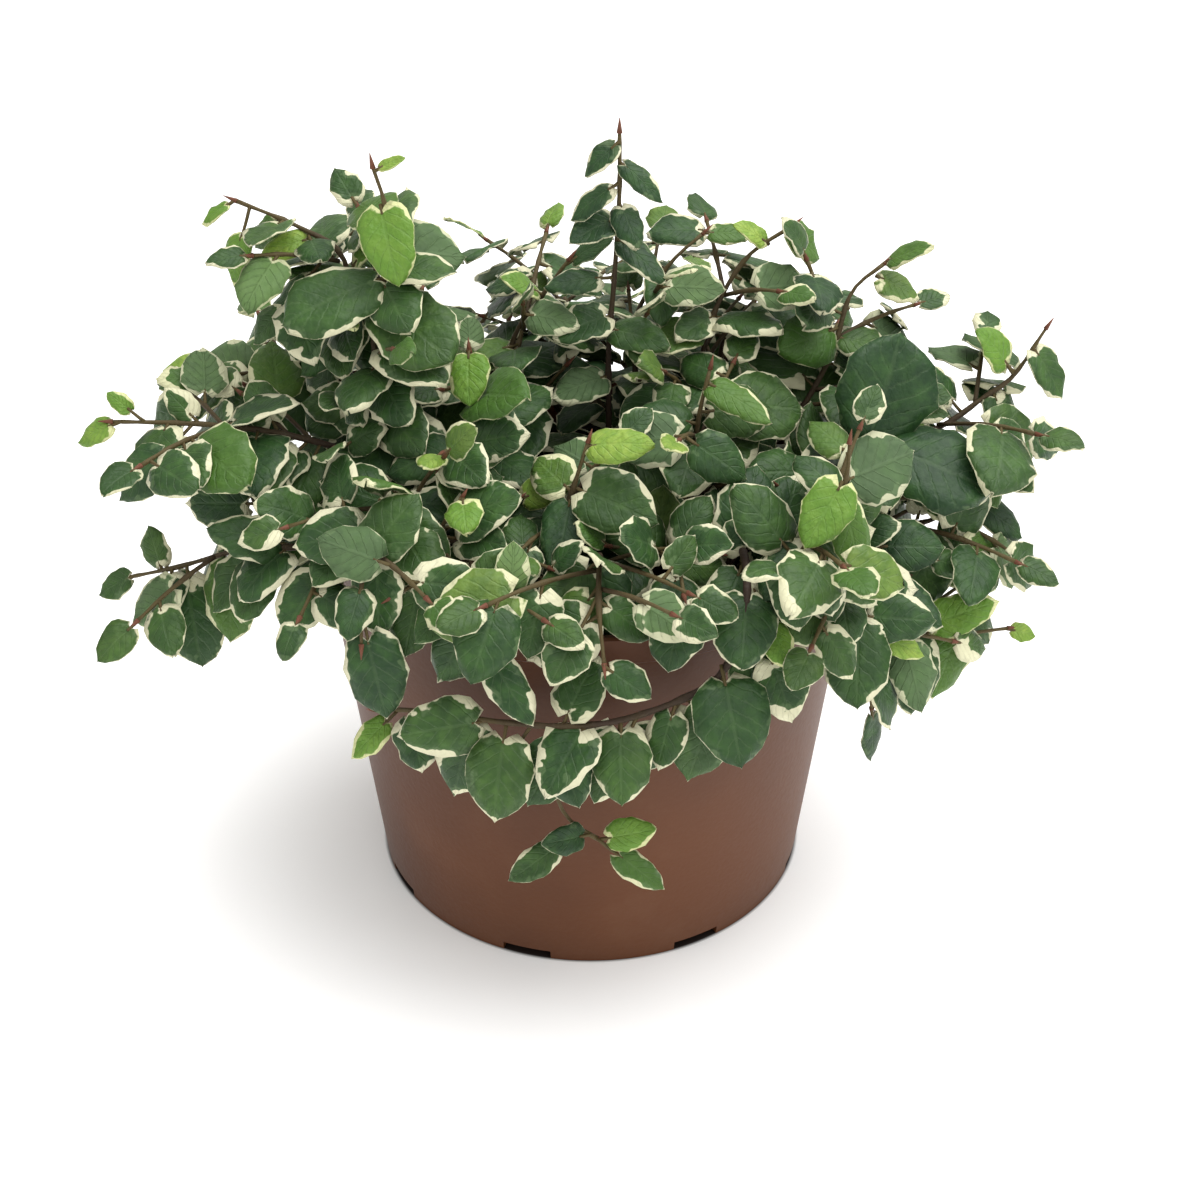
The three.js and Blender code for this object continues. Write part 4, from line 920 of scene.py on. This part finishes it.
for stem_index, (stem, own) in enumerate(zip(STEMS, stem_axes)):
    if stem[0] in STEMS_WITHOUT_MORE:
        continue
    hangs_bare = stem[0] == "trailing_stem"
    solid_axes = list(own)
    Draws.start(EXTRA_SHOOT_DRAWS + stem_index)
    for index in range(0 if hangs_bare else EXTRA_SHOOTS):
        grow_shoot(own, index, EXTRA_SHOOTS, **EXTRA_SHOOT_RULE)
    for axis_index, axis in enumerate(own[:1] if hangs_bare else own):
        number = draw_number(FILL_DRAWS, stem_index, axis_index)
        if axis in solid_axes:
            axis.bare = 0.18
            grow_leaves_on(axis, number, offset=0.5, size=1.05, **FILL_RULE)
        else:
            grow_leaves_on(axis, number, size=0.95, **FILL_RULE)

# Leaf finish: dull green above, with an irregular cream margin, and paler underneath.
# Fully grown leaves are dark grey-green, young ones are bright and puckered.
MARGIN_CREAM = colour("d4d1b2")
YOUNG_CREAM = colour("c5cc84")
DARK_GREEN = colour("203a1f")
MID_GREEN = colour("385a29")
GREY_GREEN = colour("6c8458")
BRIGHT_GREEN = colour("56802a")
LIME_GREEN = colour("8ba446")
BLOTCH_GREEN = colour("16301c")
VEIN_GREEN = colour("8fa878")
UNDER_GREEN = colour("849a72")


def leaf_finish(name, is_under):
    """The finish of one side of the blades, from each leaf's traits and each spot's place on the blade."""
    finish, shader, place = start_finish(name, {"Specular IOR Level": 0.2 if is_under else 0.28})
    traits = place.node("ShaderNodeSeparateColor", {}, {0: place.attribute("traits", 0)}, 0)
    parts = traits.socket.node.outputs
    youth, cream, mood = (Tone(place.tree, parts[i]) for i in range(3))
    margin = place.attribute("margin", 2)
    across = place.attribute("across", 2)
    along = place.attribute("along", 2)
    spot = place.node("ShaderNodeVectorMath", {"operation": "ADD"},
                      {0: place, 1: place.node("ShaderNodeCombineXYZ", {}, {0: mood, 1: mood * 3.7})})
    ragged = spot.grain(420.0, 3.0, 0.65)
    broad = spot.grain(190.0, 2.0)
    blotch = spot.grain(330.0, 2.0, 0.6)
    border = cream * (broad.step(0.44, 0.68) * 2.1 + 0.2) + (ragged - 0.52) * (0.6 + cream * 0.4)
    creamy = (border - margin).step(-0.1, 0.14)
    mottled = (border + 0.5 * cream + (blotch - 0.54) * 9.0 - margin).step(-0.4, 0.6)
    grown_green = (broad.step(0.35, 0.65) * 0.5 + mood * 0.5).between(DARK_GREEN, MID_GREEN)
    young_green = mood.between(BRIGHT_GREEN, LIME_GREEN)
    even_green = youth.between(grown_green, young_green)
    blotch_green = youth.between(BLOTCH_GREEN, BRIGHT_GREEN)
    green = (blotch.step(0.35, 0.62) * 0.5).between(even_green, blotch_green)
    mottled_green = (mottled * 0.34 * (1 - youth)).between(green, GREY_GREEN)
    ribs = place.sum_of("PINGPONG", along * 6.0 - across * 2.2 + ragged * 0.5, 0.5)
    rib_line = (1 - ribs.step(0.0, 0.13)) * (1 - across.step(0.75, 1.0))
    midrib = 1 - across.step(0.02, 0.09)
    veins = rib_line.sum_of("MAXIMUM", rib_line, midrib)
    veined = (veins * 0.05).between(mottled_green, VEIN_GREEN)
    edge_cream = (youth * 0.7).between(MARGIN_CREAM, YOUNG_CREAM)
    top = creamy.between(veined, edge_cream)
    pucker = spot.grain(700.0, 2.0)
    if is_under:
        base = (pucker * 0.2 + 0.16).between(top, UNDER_GREEN)
        height = veins * 0.4 + pucker * 0.5
        roughness = pucker * 0.1 + 0.6
    else:
        base = top
        height = pucker * (0.8 + youth * 0.8) - veins * 0.25
        roughness = pucker * 0.16 + 0.4
    lay_on(shader, {"Base Color": base, "Roughness": roughness, "Normal": place.relief(height, 0.00035)})
    return finish


leaf_top = leaf_finish("leaf_top", False)
leaf_under = leaf_finish("leaf_under", True)

# Bark: olive on young shoots and petioles, dark brown and cracked on old stems, red-brown on buds.
# The age on each spot of the mesh says which: 0 to 1 from young to old, and 2 on a bud.
YOUNG_BARKS = (colour("483a20"), colour("5c5230"))
OLD_BARKS = (colour("281d16"), colour("403026"))
BUD_BROWN = colour("6e4433")
STEM_AGE = 0.95
SHOOT_AGE = 0.55
PETIOLE_AGE = 0.15
BUD_AGE = 2.0

bark, bark_shader, place = start_finish("bark", {"Specular IOR Level": 0.3})
age = place.attribute("age", 2)
cracks = place.grain(900.0, 3.0, 0.6)
patchy = place.grain(160.0, 2.0)
young_bark = patchy.between(*YOUNG_BARKS)
old_bark = patchy.between(*OLD_BARKS)
stem_bark = (age + (patchy - 0.5) * 0.5).step(0.25, 0.75).between(young_bark, old_bark)
lay_on(bark_shader, {
    "Base Color": age.step(1.4, 1.6).between(stem_bark, BUD_BROWN),
    "Roughness": cracks * 0.2 + 0.55,
    "Normal": place.relief(cracks, 0.0003),
})

# Blades: thin sheets, folded a little along the midrib, rolled at the sides and waved at the margin,
# on the stations that the solids have. The margin, across, along and traits of a vertex are its distance
# from the edge, its share of the half width, its share of the length and its leaf's look.
BLADE_GRID = (4, 8)
LARGE_BLADE_GRID = (6, 11)
PROFILE_REACH = (0.0, 0.05, 0.13, 0.26, 0.40, 0.55, 0.70, 0.82, 0.92, 1.0)
PROFILE_WIDTH = (0.32, 0.66, 0.89, 1.0, 1.0, 0.93, 0.76, 0.55, 0.31, 0.05)
FOLD = (0.04, 0.22)
ROLL = (0.05, 0.22)
LOBE = (0.10, 0.07)
ROUND_BLADE_SHIFT = 0.16
TIP_CROWDING = 0.06
EDGE_RIPPLE = 0.05
LUMP_HEIGHT = 0.34
LUMP_CELLS = 0.36


def smoothed(places, values):
    """The places and values of a smooth curve through the given ones."""
    controls = np.array([(place, value, 0.0) for place, value in zip(places, values)])
    points = curve_points(controls, np.linspace(0, 1, 6 * len(places)))
    return points[:, 0], points[:, 1]


BLADE_PROFILE = smoothed(PROFILE_REACH, PROFILE_WIDTH)


def shape_blade(bm, leaf, layers):
    columns, rows = LARGE_BLADE_GRID if leaf.in_table else BLADE_GRID
    grid = bmesh.ops.create_grid(bm, x_segments=columns, y_segments=rows, size=0.5)["verts"]
    Draws.start(leaf.number + SHAPE_DRAWS)
    phases = [Draws.next() * 2 * math.pi for _ in range(4)]
    fold, roll, lobe = [least + spread * Draws.next() for least, spread in (FOLD, ROLL, LOBE)]
    waves = [smoothed(STATIONS, [0.0, *(wave[side] for wave in leaf.waves)]) for side in (0, 1)]
    cuts = [smoothed(STATIONS, [1.0, *(cut[side] for cut in leaf.cuts)]) for side in (0, 1)]
    half_full = leaf.width / 2
    roundness = min(max((leaf.blade - 15) / 4, 0), 1)
    for vert in grid:
        u, t = vert.co.x * 2, vert.co.y + 0.5
        t = t - TIP_CROWDING * math.sin(2 * math.pi * t)
        side = 0 if u > 0 else 1
        out = abs(u)
        shifted = t - ROUND_BLADE_SHIFT * roundness * math.sin(math.pi * t)
        half = float(np.interp(shifted, *BLADE_PROFILE)) * half_full
        half *= float(np.interp(t, *cuts[side]))
        half *= 1 + EDGE_RIPPLE * math.sin(t * 19 + phases[side]) * out
        reach = leaf.petiole + leaf.blade * (t - lobe * out * (1 - t) ** 4 - 0.05 * out * t ** 8)
        rise = float(np.interp(t, *waves[side])) * out ** 1.5
        rise += EDGE_RIPPLE * half_full * math.sin(t * 15 + phases[2 + side]) * out ** 2
        rise += fold * half * out - roll * half_full * out ** 3
        height = float(leaf.height(leaf.petiole + leaf.blade * t)) + rise
        point = leaf.root + leaf.along * reach + leaf.across * (u * half) + leaf.facing * height
        place = Vector(point)
        place += Vector(leaf.facing) * (LUMP_HEIGHT * noise.noise(place * LUMP_CELLS))
        vert.co = place * MM
        vert[layers["margin"]] = min((1 - out) * half, (1 - t) * leaf.blade * 0.9, t * leaf.blade * 0.9)
        vert[layers["across"]] = out
        vert[layers["along"]] = t
        vert[layers["traits"]] = leaf.traits


def thickened(sheets):
    """The blades' sheets as thin solids, with the underside's finish on their lower face."""
    sheet = add_piece("blade_sheets", sheets, [leaf_top, leaf_under])
    thick = sheet.modifiers.new("blade_thickness", "SOLIDIFY")
    thick.thickness = 0.32 * MM
    thick.offset = 0
    thick.material_offset = 1
    solid = bpy.data.meshes.new_from_object(sheet.evaluated_get(bpy.context.evaluated_depsgraph_get()))
    bpy.data.objects.remove(sheet)
    blades = bmesh.new()
    blades.from_mesh(solid)
    return blades


# Tubes: the stems, side shoots and petioles, smooth along their routes, and a bud at each tip.
# They are as slim as the real ones, swollen a little where a leaf grows from them.
BARK_SLOT = 2
TIP_SLIM = 0.35
KNOT_SWELL = 0.18
KNOT_REACH = 1.1
SWELL_MOST = 0.25
SEAM_SIDE = np.array([0.31, 0.52, 0.8])


def roll_tube(bm, layers, controls, radius_at, age_at, sides, step, slot=BARK_SLOT):
    """A tube along the smooth curve through the controls, closed at both ends."""
    controls = np.array(controls, float)
    rows = max(3, round(curve_length(controls) / step))
    points = spaced_points(controls, rows)
    tangents = np.gradient(points, axis=0)
    grid = bmesh.ops.create_grid(bm, x_segments=sides, y_segments=rows, size=0.5)["verts"]
    reference = square_to(SEAM_SIDE, unit(tangents[0]))
    frames = []
    for tangent in tangents:
        reference = square_to(reference, unit(tangent))
        frames.append((reference, np.cross(unit(tangent), reference)))
    for vert in grid:
        row = round((vert.co.y + 0.5) * rows)
        angle = (vert.co.x + 0.5) * 2 * math.pi
        share = row / rows
        radius = radius_at(share)
        across, up = frames[row]
        vert.co = Vector(points[row] + (across * math.cos(angle) + up * math.sin(angle)) * radius) * MM
        vert[layers["age"]] = age_at(share)
    bmesh.ops.remove_doubles(bm, verts=grid, dist=1e-7)
    made = [vert for vert in grid if vert.is_valid]
    rims = {edge for vert in made for edge in vert.link_edges if edge.is_boundary}
    bmesh.ops.holes_fill(bm, edges=list(rims), sides=0)
    faces = {face for vert in made for face in vert.link_faces}
    bmesh.ops.recalc_face_normals(bm, faces=list(faces))
    for face in faces:
        face.material_index = slot


def roll_axis(bm, axis, leaves, layers):
    """A stem or side shoot, slimmer and younger towards its tip."""
    is_stem = axis.radii is STEM_RADII
    slim = 0.56 if is_stem else 0.5
    old = STEM_AGE if is_stem else SHOOT_AGE
    knots = sorted(leaf.share for leaf in leaves if leaf.axis is axis)

    def radius_at(share):
        swell = sum(KNOT_SWELL * math.exp(-((share - knot) * axis.length / KNOT_REACH) ** 2)
                    for knot in knots)
        return axis.radius(share) * slim * (1 - TIP_SLIM * share ** 3) + min(swell, SWELL_MOST)

    roll_tube(bm, layers, axis.controls, radius_at, lambda share: old * (1 - 0.7 * share ** 1.5),
              sides=7, step=2.6)


def add_bud(bm, axis, layers):
    tip = axis.knots[-1]
    heading = unit(tip - axis.knots[-2])
    turn = Vector(heading).to_track_quat("Z", "Y").to_matrix().to_4x4()
    spot = Matrix.Translation(Vector(tip + heading * 1.0) * MM) @ turn
    bud = bmesh.ops.create_cone(bm, cap_ends=True, segments=6, radius1=0.6 * MM, radius2=0.08 * MM,
                                depth=3.0 * MM, matrix=spot)["verts"]
    for vert in bud:
        vert[layers["age"]] = BUD_AGE
    for face in {face for vert in bud for face in vert.link_faces}:
        face.material_index = BARK_SLOT


def roll_petiole(bm, leaf, layers):
    start = leaf.root
    end = leaf.root + leaf.along * (leaf.petiole + 0.6)
    middle = (start + end) / 2 - UP * 0.04 * leaf.petiole
    roll_tube(bm, layers, [start, middle, end], lambda share: 0.42 - 0.1 * share,
              lambda share: PETIOLE_AGE, sides=5, step=2.0)


# Looks of the leaves that grew by the rule: most are full-grown with a thin cream margin. Some near the
# tips are young and bright, some have a wide margin, and a few have nearly none.
TIP_SHARE = 0.93
BRIGHT_CHANCE = 0.1
BRIGHT_LENGTH = 11
FRESH_CHANCE = 0.06
TIP_FRESH_CHANCE = 0.32
YOUTHS = {"bright": 0.9, "fresh": 0.4, "grown": 0.15}
CREAM_LEAST = 0.3
CREAM_SPREAD = 0.55
WIDE_CREAM = (0.87, 1.15)
THIN_CREAM = (0.1, 0.08)


def traits_of(leaf):
    """Youth, cream and mood of a leaf, by draws that follow from its number."""
    Draws.start(leaf.number + TRAIT_DRAWS)
    mood, chance, width = Draws.next(), Draws.next(), Draws.next()
    at_tip = leaf.share > TIP_SHARE
    youth = YOUTHS["grown"] * Draws.next()
    if at_tip and chance < BRIGHT_CHANCE and leaf.blade < BRIGHT_LENGTH:
        youth = YOUTHS["bright"]
    elif chance < (TIP_FRESH_CHANCE if at_tip else FRESH_CHANCE):
        youth = YOUTHS["fresh"]
    cream = CREAM_LEAST + CREAM_SPREAD * width
    if width > WIDE_CREAM[0]:
        cream = WIDE_CREAM[1]
    elif width < THIN_CREAM[0]:
        cream = THIN_CREAM[1]
    return (youth, cream * (1 - 0.5 * youth), mood)


# Foliage: one piece for each stem, with its blades, axes, buds and petioles.
# It takes the place of the solid of the same name, and nothing on it moves.
BLADE_LAYERS = ("margin", "across", "along", "age")

for stem, own in zip(STEMS, stem_axes):
    name = stem[0]
    mine = [leaf for leaf in Crowd.leaves if leaf.axis.node == name]
    for leaf in mine:
        leaf.traits = leaf.traits or traits_of(leaf)
    blades = bmesh.new()
    layers = {key: blades.verts.layers.float.new(key) for key in BLADE_LAYERS}
    layers["traits"] = blades.verts.layers.float_vector.new("traits")
    for leaf in mine:
        shape_blade(blades, leaf, layers)
    bmesh.ops.recalc_face_normals(blades, faces=blades.faces)
    if mine:
        blades = thickened(blades)
        layers = {key: blades.verts.layers.float[key] for key in BLADE_LAYERS}
    for axis in own:
        roll_axis(blades, axis, mine, layers)
        if name != "cut_stem":
            add_bud(blades, axis, layers)
    for leaf in mine:
        roll_petiole(blades, leaf, layers)
    piece = add_piece(name + "_foliage", blades, [leaf_top, leaf_under, bark])
    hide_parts(name)
    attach(piece, "root")

# Rootlet: a hair-thin air root that has grown over the rim at the left and dried there in a loop.
# It starts at the soil, and its loop lies against the rim band.
ROOTLET_ROUTE = [
    (-54.5, -7, 79.5), (-56.5, -8, 88), (-58.6, -8.5, 92.8), (-60.3, -9, 92.4), (-61.4, -9.5, 88.5),
    (-62.1, -8.5, 85.6), (-61.2, -6.6, 84.6), (-60.9, -5.5, 87.5), (-60.6, -4.5, 90.5)]

rootlet = bmesh.new()
layers = {"age": rootlet.verts.layers.float.new("age")}
roll_tube(rootlet, layers, ROOTLET_ROUTE, lambda share: 0.28 - 0.1 * share,
          lambda share: STEM_AGE, sides=5, step=1.6, slot=0)
rootlet_piece = add_piece("air_rootlet", rootlet, [bark])
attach(rootlet_piece, "root")
